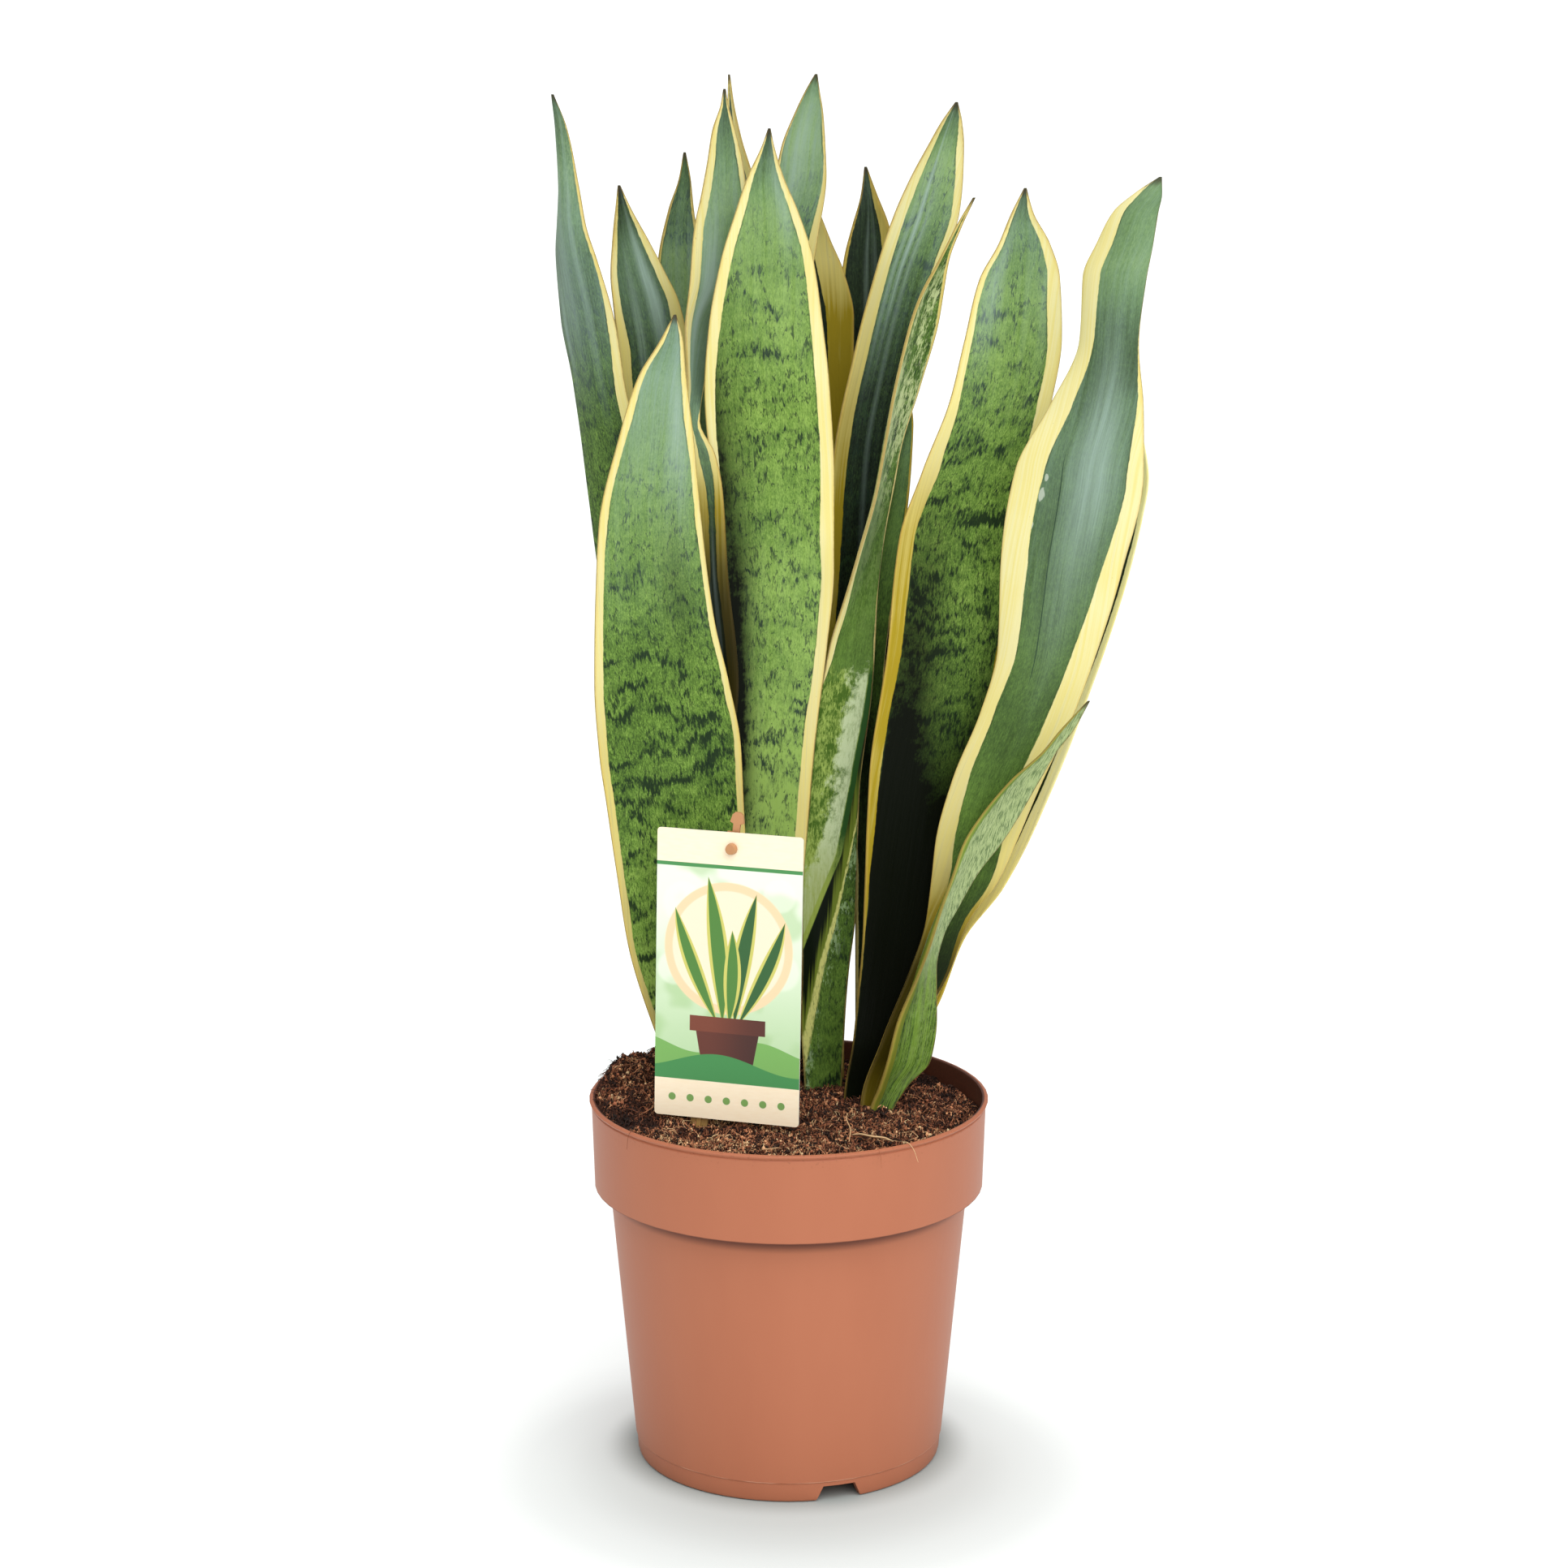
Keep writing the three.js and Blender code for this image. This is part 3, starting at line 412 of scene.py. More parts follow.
        "sheen": [(500, 30, -.15, .06, .3), (495, 30, .2, .06, .25)]},
    "leaf_centre_right": {"hollow": (4, 4), "levels": [
        (ROOT_END, 14, 47, 24, 46), (152, 14, 47, 24, 46), (200, 13, 46, 24.4, 46.5), (250, 12, 45, 27, 47),
        (300, 12, 44, 34, 48), (368, 15, 43, 42, 49), (427, 19, 41, 46, 51), (468, 27, 40, 54, 53),
        (502, 35, 40, 63, 54), (529, 44.2, 41, 71.7, 53), (543, 50.7, 42, 72.8, 51), (556, 57.8, 43, 73, 49),
        (566, 63.5, 44, 72, 47), (574, 69, 45, 70, 45)],
        "trim": [(128, 3, 3), (350, 6, 3), (430, 7, 3), (500, 7.5, 3), (535, 6, 3.2), (555, 3, 2.4), (574, 0, 0)],
        "look": [(128, .04, 0, .1, 0), (380, .06, .02, .2, 0), (420, .12, .06, .3, 0), (450, .2, .1, .4, 0),
                 (490, .46, .28, .5, 0), (525, .78, .46, .4, 0), (550, .94, .5, .15, 0), (574, .3, .2, 0, 0)],
        "gold": [(128, 1), (400, 1), (440, .7), (480, .4), (515, .08), (574, 0)],
        "sheen": [(525, 42, -.12, .045, .8), (515, 36, .1, .035, .55), (505, 36, -.38, .05, .6),
                  (440, 60, .1, .05, .25)]},
    "leaf_twisted": {"hollow": (5, 3), "levels": [
        (ROOT_END, 8, 30, 22, 30), (152, 7, 30, 23, 30), (182, 5.5, 30, 24.3, 30), (205, 5.5, 29, 25.8, 30),
        (230, 5.5, 28, 28.7, 30), (283, 9, 26, 30.2, 29), (326, 13, 24, 35, 28), (347, 16.5, 23, 36.5, 30),
        (368, 23, 20, 37.5, 31), (388, 29, 16, 39.5, 32), (416, 37, 15, 44.2, 33), (430, 39.5, 15, 46.7, 34),
        (457, 43.5, 17, 55.2, 35), (484, 50, 22, 62.5, 34), (497, 55, 24, 64.5, 33), (510, 62, 28, 66.5, 31),
        (524, 69, 30, 71.5, 30), (536, 76, 30, 77, 30)],
        "trim": [(128, 0, 0), (332, 0, 0), (342, 2.4, .2), (360, 3.4, .5), (400, 2.8, .6), (430, 1.8, 1),
                 (500, 1.6, 1.4), (536, .5, .5)],
        "look": [(128, .62, 0, .4, 0), (200, .6, 0, .35, 0), (235, .54, 0, .3, 0), (258, .5, .02, .3, 0),
                 (290, .42, .02, .2, 0), (318, .56, .02, 0, 0), (345, .6, .02, 0, 0), (405, .56, .03, .1, .15),
                 (425, .58, .02, .4, .8), (440, .6, .02, .55, 1), (495, .6, .04, .55, 1), (508, .6, 0, .3, .4),
                 (536, .2, 0, 0, 0)],
        "gold": [(128, .5), (335, .05), (380, .05), (430, .3), (536, .4)],
        "valley": [(345, 1.1), (320, 1.0), (288, .86), (256, .43), (229, -.47), (215, -.98), (200, -1.4),
                   (128, -1.6)],
        "ridge": [(310, 1.4), (274, .98), (250, .63), (224, .18), (196, -.43), (174, -.92), (160, -1.3),
                  (128, -1.6)]},
    "leaf_right_back": {"hollow": (3, 1), "levels": [
        (ROOT_END, 29, 34, 40, 33), (152, 29, 34, 40, 32), (200, 28.8, 35, 41, 35), (250, 28.4, 36, 42, 37),
        (322, 28, 36, 40, 39), (358, 28, 37, 43, 41), (378, 31, 37, 46, 42), (406, 37, 38, 50.5, 43),
        (425, 41, 39, 52, 43), (440, 46, 40, 52.5, 42), (452, 50, 41, 51, 41)],
        "trim": [(128, .6, .4), (220, 1, .8), (260, 1.2, .8), (300, 1, .6), (350, .4, .3), (420, .6, 1.2),
                 (452, .5, .5)],
        "look": [(128, .1, 0, .1, 0), (300, .16, 0, .1, 0), (350, .46, 0, .15, 0), (400, .62, .1, .1, 0),
                 (430, .5, .2, .1, 0), (452, .4, .05, .1, 0)],
        "gold": [(128, .2), (300, .25), (350, .8), (452, .9)],
        "dusk": [(128, .6), (200, .35), (300, .1), (340, 0)],
        "shadow": [(400, 60, -.9, .7, .9)]},
    "leaf_right": {"hollow": (4, 3), "levels": [
        (ROOT_END, 24, 12, 41, 20), (152, 24, 12, 42, 20), (179, 27.8, 13, 50, 21), (236, 31.8, 14, 64, 23),
        (293, 34, 14, 79, 25), (348, 41, 14, 93, 28), (396, 46, 15, 99, 31), (424, 55.7, 17, 103, 32),
        (451, 66, 19, 110, 34), (477, 72.2, 21, 114, 35), (503, 78.7, 24, 112.6, 34), (517, 86.3, 26, 108.2, 32),
        (530, 92, 28, 101, 30), (540, 97, 29, 98, 29)],
        "trim": [(128, 0, 0), (195, .2, .5), (225, .7, 2), (248, 1.8, 3), (274, 3.8, 4), (310, 5, 4),
                 (350, 6.4, 5), (400, 7, 5), (424, 7.4, 5), (451, 4.5, 6), (490, 3, 6), (512, 2.5, 4.5),
                 (528, 1, 2), (540, 0, 0)],
        "look": [(128, .1, 0, .1, 0), (190, .14, 0, .2, 0), (240, .3, 0, .5, 0), (295, .58, 0, .8, 0),
                 (330, .72, 0, .9, 0), (371, .76, 0, .95, 0), (392, .76, 0, .9, 0), (412, .74, 0, .85, 0),
                 (430, .74, .03, .75, 0), (470, .8, .15, .5, 0), (500, .84, .35, .25, 0),
                 (524, .66, .5, .2, 0), (540, .3, .3, 0, 0)],
        "gold": [(128, 1), (290, 1), (360, 1.02), (400, .82), (430, .32), (455, .05), (540, 0)],
        "sheen": [(500, 28, -.6, .22, .35), (492, 22, .62, .035, .8)],
        "shadow": [(356, 56, -.6, .6, .78), (282, 44, -.45, .75, .8), (318, 34, 1, .3, .8),
                   (262, 34, .8, .5, .6), (215, 75, 0, 2, 1.15)],
        "dusk": [(128, .8), (190, .6), (230, .25), (270, .05), (300, 0)]},
    "leaf_far_right": {"hollow": (4, -3), "levels": [
        (ROOT_END, 31, 6, 42, 8), (152, 31, 6, 43, 8), (180, 39.5, 6.5, 52.5, 8), (210, 51, 8, 68.5, 10),
        (232, 58, 9, 76.5, 11), (250, 60.2, 8, 88.5, 9), (268, 62, 7, 96, 7), (296, 69, 6, 107, 4),
        (324, 80, 6, 119, 1), (351, 87, 6, 128, -2), (386, 88, 7, 137.5, -5), (426, 93.5, 8, 145.5, -7),
        (453, 107.3, 7, 145, -7), (480, 119, 6, 142.5, -7), (506, 120.2, 6, 145, -7),
        (520, 125.8, 4, 147.5, -6), (533, 132.2, 2, 149.5, -4), (541, 141, 0, 151, -2), (547, 150, 0, 151, 0)],
        "trim": [(128, 9, 1), (205, 9, 1.4), (230, 7, 2.6), (245, 7, 3.4), (258, 8, 4.4), (268, 8, 6.4),
                 (280, 7.5, 9), (296, 7, 11), (324, 6, 11), (351, 8.5, 10), (386, 12, 8.5), (426, 13, 6.5),
                 (453, 10.5, 3), (475, 8, .3), (506, 9.5, 0), (525, 7, 0), (537, 4, 0), (547, 0, 0)],
        "look": [(128, .3, 0, 0, 0), (225, .44, 0, 0, 0), (255, .5, 0, 0, 0), (280, .56, 0, .05, 0),
                 (310, .5, .04, .05, 0), (345, .48, .08, .05, 0), (375, .5, .2, 0, 0), (420, .5, .36, 0, 0),
                 (455, .5, .4, 0, 0), (475, .44, .3, 0, 0), (490, .5, .36, 0, 0), (512, .76, .48, 0, 0),
                 (547, .6, .4, 0, 0)],
        "gold": [(128, 1.1), (235, 1), (250, .6), (262, .42), (285, .3), (310, .24), (340, .14), (370, .04),
                 (547, 0)],
        "sheen": [(430, 42, .25, .32, .6), (365, 32, .05, .3, .12)],
        "shadow": [(235, 28, .5, .7, .3)],
        "dusk": [(128, .45), (158, .6), (172, .82), (212, .84), (224, .62), (235, .26), (246, .05), (256, 0)]},
    "leaf_far_right_back": {"hollow": (3, 3), "levels": [
        (ROOT_END, 39, 26, 45, 24), (152, 39, 26, 46, 24), (175, 46.5, 25.5, 55.5, 23),
        (192, 53, 25, 64, 21.5), (222, 62, 24, 75, 19), (245, 68.5, 23, 91.5, 17), (285, 82, 24, 110, 15),
        (327, 98, 25, 125, 14), (362, 108, 26, 136.8, 14), (404, 121, 26, 147.2, 14),
        (420, 127, 25, 149.5, 14), (440, 135, 22, 146, 15), (456, 141, 18, 142, 18)],
        "trim": [(128, 2, 2), (192, 3, 3.5), (225, 3, 4.5), (245, 3, 5), (285, 4, 4.5), (310, 4, 3.9),
                 (327, 4, 3.3), (362, 5, 2.3), (404, 5, 2), (440, 3, 2), (456, 3, 3)],
        "look": [(128, .2, 0, .3, 0), (300, .12, 0, .1, 0), (456, .14, .1, .1, 0)],
        "gold": [(128, 1), (225, .8), (245, .5), (270, .3), (300, .1), (456, 0)]},
    "leaf_small_front": {"hollow": (3, 3), "levels": [
        (ROOT_END, 36, 0, 43, 1), (150, 34.5, -1, 44.5, 1), (162, 38.3, -2, 51, 1.5), (173, 41.5, -3, 60.5, 2),
        (192, 46, -4, 63, 1), (213, 54.5, -8, 62.8, 4), (228, 59.5, -11, 65.5, 2), (242, 63.5, -12, 72, 0),
        (257, 68.5, -12, 80, -2), (271, 73, -12, 90, -4), (285, 81, -13, 98, -6), (299, 92, -14, 105, -9),
        (311, 105, -14, 111.5, -11), (320, 112, -14, 118, -12), (333, 123.5, -14, 124.5, -14)],
        "trim": [(128, 2.4, 0), (180, 3, 0), (215, 3, 0), (250, 2.6, 0), (300, 2.2, 0), (333, .5, 0)],
        "look": [(128, .5, 0, .4, 0), (180, .52, 0, .4, .15), (215, .56, 0, .35, .15), (240, .64, .02, .1, .3),
                 (300, .7, .02, .1, .3), (318, .64, 0, .1, .2), (333, .4, 0, 0, 0)],
        "gold": [(128, 1), (200, .9), (225, .5), (245, .1), (333, 0)],
        "shadow": [(190, 26, -.62, .2, .35)]},
}
print("leaves:", len(LEAVES))

# %% [markdown]
# ### The blade
# Every level cut is a shallow arc with a body that is thick in the middle and thin at the edges. The arc, its
# depth and its thickness follow the same rule as the frame's solid, so the piece keeps its form. What the solid
# lacks comes on top: a rounded edge, gentle waves along the margins, and rows and columns close enough for smooth
# light.

# %% Set the blade's measures
SOIL_LEVEL = 153
BLADE_EDGE = 0.8
BLADE_MIDDLE = 2.2
BLADE_BASE = 3.6
LEAF_ROWS = 170
LEAF_HALF_COLUMNS = 13
EDGE_ROUNDING = 0.45
EDGE_WAVE = 0.6
WAVE_PARTS = ((0.6, 21), (0.3, 9.7), (0.1, 5.3))      # each part's share and length
SEED_STEP = 13.7
# much of the front's darkness is painted shade, so the back is kept lighter and takes less of the painted shadows
BACK_LIGHT = 0.42                # the back of a leaf is at least this light
BACK_SHADE = 0.2                 # and keeps this share of the front's shadows
FOLD_TOP = 338                   # the twisted leaf's fold is painted below this height; its mesh is not folded
print("points in a leaf:", (LEAF_ROWS + 1) * (4 * LEAF_HALF_COLUMNS + 2))


# %% Cut the blade
def edge_waves(z, random):
    """Waves of three lengths along an edge, each with its own phase."""
    phases = random.uniform(0, 2 * math.pi, 3)
    return sum(share * np.sin(z / length + phase) for (share, length), phase in zip(WAVE_PARTS, phases))


def leaf_points(leaf, z, across, face, waves):
    """Points of one face (front -1, back 1), and the blade's width, for columns of z and rows of across."""
    heights, *edges = zip(*leaf["levels"])
    left_x, left_y, right_x, right_y = (curve_through(heights, places)(z) for places in edges)
    width = np.hypot(right_x - left_x, right_y - left_y)
    along_x, along_y = (right_x - left_x) / width, (right_y - left_y) / width
    up = smooth_step((z - SOIL_LEVEL + 3) / 120)
    deep = leaf["hollow"][0] * (1 - up) + leaf["hollow"][1] * up
    depth = deep * np.minimum(1, width / 14)
    arc = depth * (1 - across**2)
    x = (left_x + right_x) / 2 + along_x * across * width / 2 - along_y * arc
    y = (left_y + right_y) / 2 + along_y * across * width / 2 + along_x * arc
    slope_x = along_x * width / 2 + 2 * across * depth * along_y
    slope_y = along_y * width / 2 - 2 * across * depth * along_x
    slope = np.hypot(slope_x, slope_y)
    middle = (BLADE_BASE * (1 - up) + BLADE_MIDDLE * up) * np.minimum(1, width / 10)
    bulge = np.maximum(middle - BLADE_EDGE, 0) * np.maximum(0, 1 - across**2) ** 0.7
    from_edge = (1 - np.abs(across)) * width / 2
    roundness = np.sqrt(np.maximum(1 - (1 - np.minimum(from_edge / EDGE_ROUNDING, 1)) ** 2, 0.03))
    free = smooth_step((z - SOIL_LEVEL - 15) / 60) * np.minimum(1, width / 25)
    ripple = EDGE_WAVE * free * np.abs(across) ** 3 * np.where(across < 0, waves[0], waves[1])
    offset = face * (BLADE_EDGE + bulge) / 2 * roundness + ripple
    x, y = x - offset * slope_y / slope, y + offset * slope_x / slope
    return np.stack([x, y, z + 0 * across], -1), width


cut, cut_width = leaf_points(LEAVES["leaf_tallest"], np.array([[400.0]]), np.array([[0.0]]), -1, (0, 0))
print(f"the tallest leaf is {cut_width[0, 0]:.0f} mm wide at a height of 400 mm")

# %% [markdown]
# ### What a point of the leaf knows
# The finish could find the margins and bands from a flat map of the leaf, but a picture laid on it would blur. So
# each point carries plain numbers instead: `place` is where it lies on the flattened leaf, `trim` how far inside
# the margin, from the edge and below the tip it is, and `look` and `touch` are the leaf's tables at its height.


# %% Store the look on the points
def by_height(rows, z):
    """The columns of a table whose first column is a height, at each z."""
    heights = [row[0] for row in rows]
    return [np.interp(z, heights, [row[k] for row in rows]) for k in range(1, len(rows[0]))]


def soft_patches(patches, z, q):
    """The sum of soft oval patches, each a height, half a length, a place across, half a width and a strength."""
    return sum((amount * np.exp(-((z - height) / half) ** 2 - ((q - middle) / half_across) ** 2)
                for height, half, middle, half_across, amount in patches), 0 * q * z)


def leaf_values(leaf, z, q, width, seed):
    """The values that the finish reads, for columns of z and rows of q: first the front's q, then the back's."""
    left, right = by_height(leaf["trim"], z)
    from_left, from_right = (1 + q) * width / 2, (1 - q) * width / 2
    in_margin = np.maximum(left - from_left, right - from_right)
    place = np.stack([q * width / 2, z + 0 * q, seed + 0 * q * z], -1)
    trim = np.stack([in_margin, np.minimum(from_left, from_right), leaf["levels"][-1][0] - z + 0 * q], -1)
    look = np.stack([value + 0 * q for value in by_height(leaf["look"], z)], -1)
    on_front = np.arange(q.shape[1]) < q.shape[1] // 2
    look[:, ~on_front, 0] = np.maximum(look[:, ~on_front, 0], BACK_LIGHT)
    shaded = np.where(on_front, 1, BACK_SHADE)
    # sheen is painted highlight, shadow and dusk are painted shade; gold is the margin's own colour
    sheen, shadow = (soft_patches(leaf.get(kind, []), z, q) for kind in ("sheen", "shadow"))
    gold, dusk = (by_height(leaf.get(kind, [(0, 0)]), z)[0] + 0 * q for kind in ("gold", "dusk"))
    touch = np.stack([sheen, gold, shadow * shaded, dusk * shaded], -1)
    values = {"place": ("FLOAT_VECTOR", place), "trim": ("FLOAT_VECTOR", trim),
              "look": ("FLOAT_COLOR", look), "touch": ("FLOAT_COLOR", touch)}
    if "valley" in leaf:
        past = [(q - by_height(sorted(leaf[line]), z)[0]) * width / 2 for line in ("valley", "ridge")]
        values["fold"] = ("FLOAT_VECTOR", np.stack([*past, FOLD_TOP - z + 0 * q], -1))
    return values


patches = {kind: sum(len(leaf.get(kind, [])) for leaf in LEAVES.values()) for kind in ("sheen", "shadow")}
print("soft patches on the leaves:", patches)


# %% Build the leaf's mesh
def leaf_faces(columns):
    """Faces of a blade whose rows are closed rings, the front's columns and then the back's, shut at both ends."""
    ring, top = 2 * columns, LEAF_ROWS * 2 * columns
    row, i = np.meshgrid(np.arange(LEAF_ROWS), np.arange(ring), indexing="ij")
    a, b = row * ring + i, row * ring + (i + 1) % ring
    faces = np.stack([a, b, b + ring, a + ring], -1).reshape(-1, 4).tolist()
    for k in range(columns - 1):
        faces.append([k, ring - 1 - k, ring - 2 - k, k + 1])
        faces.append([top + k, top + k + 1, top + ring - 2 - k, top + ring - 1 - k])
    return faces


def leaf_piece(number, name, leaf, finish):
    """A leaf in place of its solid: rows of level cuts, closer together near the tip."""
    random = np.random.default_rng(100 + number)
    tip = leaf["levels"][-1][0]
    t = np.linspace(0, 1, LEAF_ROWS + 1)[:, None]
    z = ROOT_END + (tip - ROOT_END) * (1 - (1 - t) ** 1.5)
    turns = np.linspace(-1, 1, 2 * LEAF_HALF_COLUMNS + 1)
    across = np.sin(turns * math.pi / 2)[None, :]
    waves = [edge_waves(z, random), edge_waves(z, random)]
    front, width = leaf_points(leaf, z, across, -1, waves)
    back, _ = leaf_points(leaf, z, across, 1, waves)
    points = np.concatenate([front, back[:, ::-1]], 1).reshape(-1, 3)
    values = leaf_values(leaf, z, np.concatenate([across, across[:, ::-1]], 1), width, number * SEED_STEP)
    piece = make_piece(name + "_blade", points, leaf_faces(across.shape[1]), finish, values)
    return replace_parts(piece, name)


print("faces in a leaf:", len(leaf_faces(2 * LEAF_HALF_COLUMNS + 1)))

# %% [markdown]
# ### The leaf's finish
# The green of the blade is never plain. Fine dark dashes lie along its fibres, and ragged dark bands of them cross
# it like the trace of a seismograph. A blue-grey bloom of wax lies on the upper parts, where it also stands in for
# the soft reflection of the light, and pale streaks of painted highlight lie over it. Painted shade and painted
# shadows darken the leaves deep in the clump. The margins are cream to golden yellow, with the faintest lines, and
# end in a brown hairline. All the patterns are noise, stretched along or across the blade.

# %% Read the leaf's values
LEAF_NOISE = {                   # size across and along the leaf in mm, detail and roughness
    "cloud": (22, 40, 3, 0.5), "patch": (6, 5, 4, 0.65), "fibre": (0.5, 22, 2, 0.5),
    "broad_fibre": (2.2, 90, 2, 0.5), "dash": (0.6, 2.2, 3, 0.7), "tuft": (1.1, 5, 3, 0.65),
    "fine": (0.45, 1.1, 2, 0.7), "jag": (1.1, 30, 3, 0.7), "sway": (14, 40, 2, 0.5),
    "wobble": (60, 26, 3, 0.5), "nibble": (60, 2.6, 3, 0.6), "stripe": (1.1, 110, 3, 0.55),
}


class LeafFinish(Finish):
    """A finish that starts with the values on a leaf's points, and with noise round 0 for all of its patterns."""

    def __init__(self, name):
        super().__init__(name, Specular_IOR_Level=0.07)
        self.place, trim = self.stored("place", "Vector"), self.stored("trim", "Vector")
        touch, look = self.stored("touch", "Color"), self.stored("look", "Color")
        self.dusk, self.pale = self.stored("touch", "Alpha"), self.stored("look", "Alpha")
        self.margin, self.edge, self.below_tip = (self.node("SeparateXYZ", [trim], output=k) for k in range(3))
        # the touch values: painted sheen, the margin's gold and painted shadow; its alpha, read above, is painted
        # dusk
        self.sheen, self.gold, self.shadow = (self.node("SeparateColor", [touch], output=k) for k in range(3))
        self.light, self.blue, self.bands = (self.node("SeparateColor", [look], output=k) for k in range(3))
        self.shown = self.above(self.bands, 0.0, 0.25)
        for pattern, (wide, long, detail, roughness) in LEAF_NOISE.items():
            setattr(self, pattern, self.grain(self.place, (wide, long, 1), detail, roughness) - 0.5)

    def stored(self, layer, output):
        return self.node("Attribute", output=output, attribute_name=layer)


print("kinds of noise on a leaf:", len(LEAF_NOISE))

# %% Paint the green
# the darkest greens are painted shade, for leaves deep in the clump
GREENS = [(0, shade(6, 9, 4)), (0.2, shade(32, 44, 20)), (0.45, shade(64, 88, 36)), (0.7, shade(98, 130, 54)),
          (1, shade(140, 170, 80))]


def paint_green(leaf):
    """The green of the blade, from the near black of painted shade to light, rough where it is banded and lined by
    its fibres.
    """
    rough = leaf.bands * 0.7 + 0.3
    speckle = leaf.patch * 0.65 + leaf.dash * 1.15 + leaf.fine
    tone = leaf.light + leaf.cloud * 0.34 + leaf.fibre * 0.2 + leaf.broad_fibre * 0.14 + speckle * rough
    return leaf.node("ValToRGB", [tone], stops=GREENS)


print("greens:", len(GREENS))

# %% Paint the bands
BAND_WIDTH, BAND_HEIGHT = 26, 7
JAG_REACH, SWAY_REACH = 12, 16


def paint_bands(leaf, color):
    """Ragged dark bands across the leaf, thin dark squiggles and specks."""
    shift = leaf.node("CombineXYZ", [0.0, leaf.jag * JAG_REACH + leaf.sway * SWAY_REACH, 0.0])
    jagged = leaf.node("VectorMath", [leaf.place, shift], operation="ADD")
    band = leaf.grain(jagged, (BAND_WIDTH, BAND_HEIGHT, 1), detail=3, roughness=0.6) - 0.5
    spots = leaf.grain(jagged, (6, 3.6, 1), detail=2) - 0.5
    dark = band * 3.3 + spots * 1.7 + leaf.tuft * 1.9 + leaf.dash * 1.2 + leaf.bands * 0.75 - 0.74
    color = leaf.mix(leaf.above(dark, -0.45, 0.3) * leaf.shown * 0.5, color, shade(52, 78, 36))
    color = leaf.mix(leaf.above(dark, 0.05, 0.4) * leaf.shown * 0.9, color, shade(24, 39, 26))
    contour = leaf.grain(jagged, (10, 12, 1), detail=3, roughness=0.6) - 0.5
    here = leaf.above(leaf.tuft + leaf.patch, -0.1, 0.1) * leaf.shown
    squiggle = (1 - leaf.above(abs(contour), 0.006, 0.035)) * here
    color = leaf.mix(squiggle * 0.8, color, shade(26, 42, 27))
    speck = leaf.above(leaf.grain(leaf.place, (1.1, 1.8, 1), detail=2), 0.66, 0.72) * leaf.shown
    return leaf.mix(speck * 0.7, color, shade(28, 44, 28))


print("a band is about", BAND_HEIGHT, "mm high, and its jags reach", JAG_REACH, "mm")

# %% Paint the bloom
# the wax bloom's blue-grey, which on the upper parts also stands in for the soft reflection of the light
BLOOM = shade(130, 154, 150)


def paint_bloom(leaf, color):
    """Pale mottling, the blue-grey bloom of wax, which also stands in for soft reflection, and pale streaks of
    sheen, mostly painted highlights.
    """
    mottle = leaf.grain(leaf.place, (3.4, 13, 1), detail=5, roughness=0.7) + leaf.dash * 0.5
    color = leaf.mix(leaf.above(mottle, 0.44, 0.58) * leaf.pale * 0.9, color, shade(186, 198, 142))
    uneven = 0.66 + leaf.broad_fibre * 1.1 + leaf.cloud * 0.7 + leaf.dash * 0.5 + leaf.fibre * 0.4
    color = leaf.mix(leaf.blue * uneven, color, BLOOM)
    # pale streaks of sheen, mostly painted highlights, broken by the fibres
    return leaf.mix(leaf.sheen * (1 + leaf.fibre * 0.8 + leaf.broad_fibre * 0.6), color, shade(156, 178, 168))


print("the bloom is", [round(c, 2) for c in BLOOM])

# %% Paint the margins
CREAM = (shade(226, 213, 136), shade(231, 223, 166))
DEEP_GOLD = shade(162, 140, 34)


def paint_margins(leaf, color, cream, deep, aged):
    """Cream margins, deep gold low down, with fine lines, freckles and a dark line on their inner side."""
    inside = leaf.margin + leaf.wobble * 1.6 + leaf.nibble * 0.5 + leaf.fibre * 0.3
    line = leaf.above(inside, -0.75, -0.2) * leaf.above(leaf.wobble, -0.06, 0.16) * 0.6
    color = leaf.mix(line, color, shade(46, 62, 34))
    yellow = leaf.mix(leaf.above(leaf.stripe + leaf.cloud * 0.6, -0.2, 0.2), *cream)
    yellow = leaf.mix(leaf.gold * (1 + leaf.stripe * 1.2 + leaf.cloud), yellow, deep)
    yellow = leaf.mix(leaf.above(leaf.stripe, 0.1, 0.2) * (0.08 + leaf.gold * 0.3), yellow, shade(120, 122, 52))
    freckle = leaf.above(leaf.grain(leaf.place, (0.9, 1.7, 1), detail=2), 0.75, 0.8) * 0.5
    yellow = leaf.mix(freckle, yellow, shade(138, 98, 52))
    rim = (1 - leaf.above(leaf.edge + leaf.wobble * 1.5, 0.2, 1.5)) * (0.4 * aged)
    yellow = leaf.mix(rim, yellow, shade(206, 172, 84))
    color = leaf.mix(leaf.above(inside, -0.15, 0.2), color, yellow)
    hairline = (1 - leaf.above(leaf.edge + leaf.nibble * 0.5, 0.1, 0.42)) * (0.6 * aged)
    return leaf.mix(hairline, color, shade(128, 104, 56))


print("the cream is", [round(c, 2) for c in CREAM[0]])


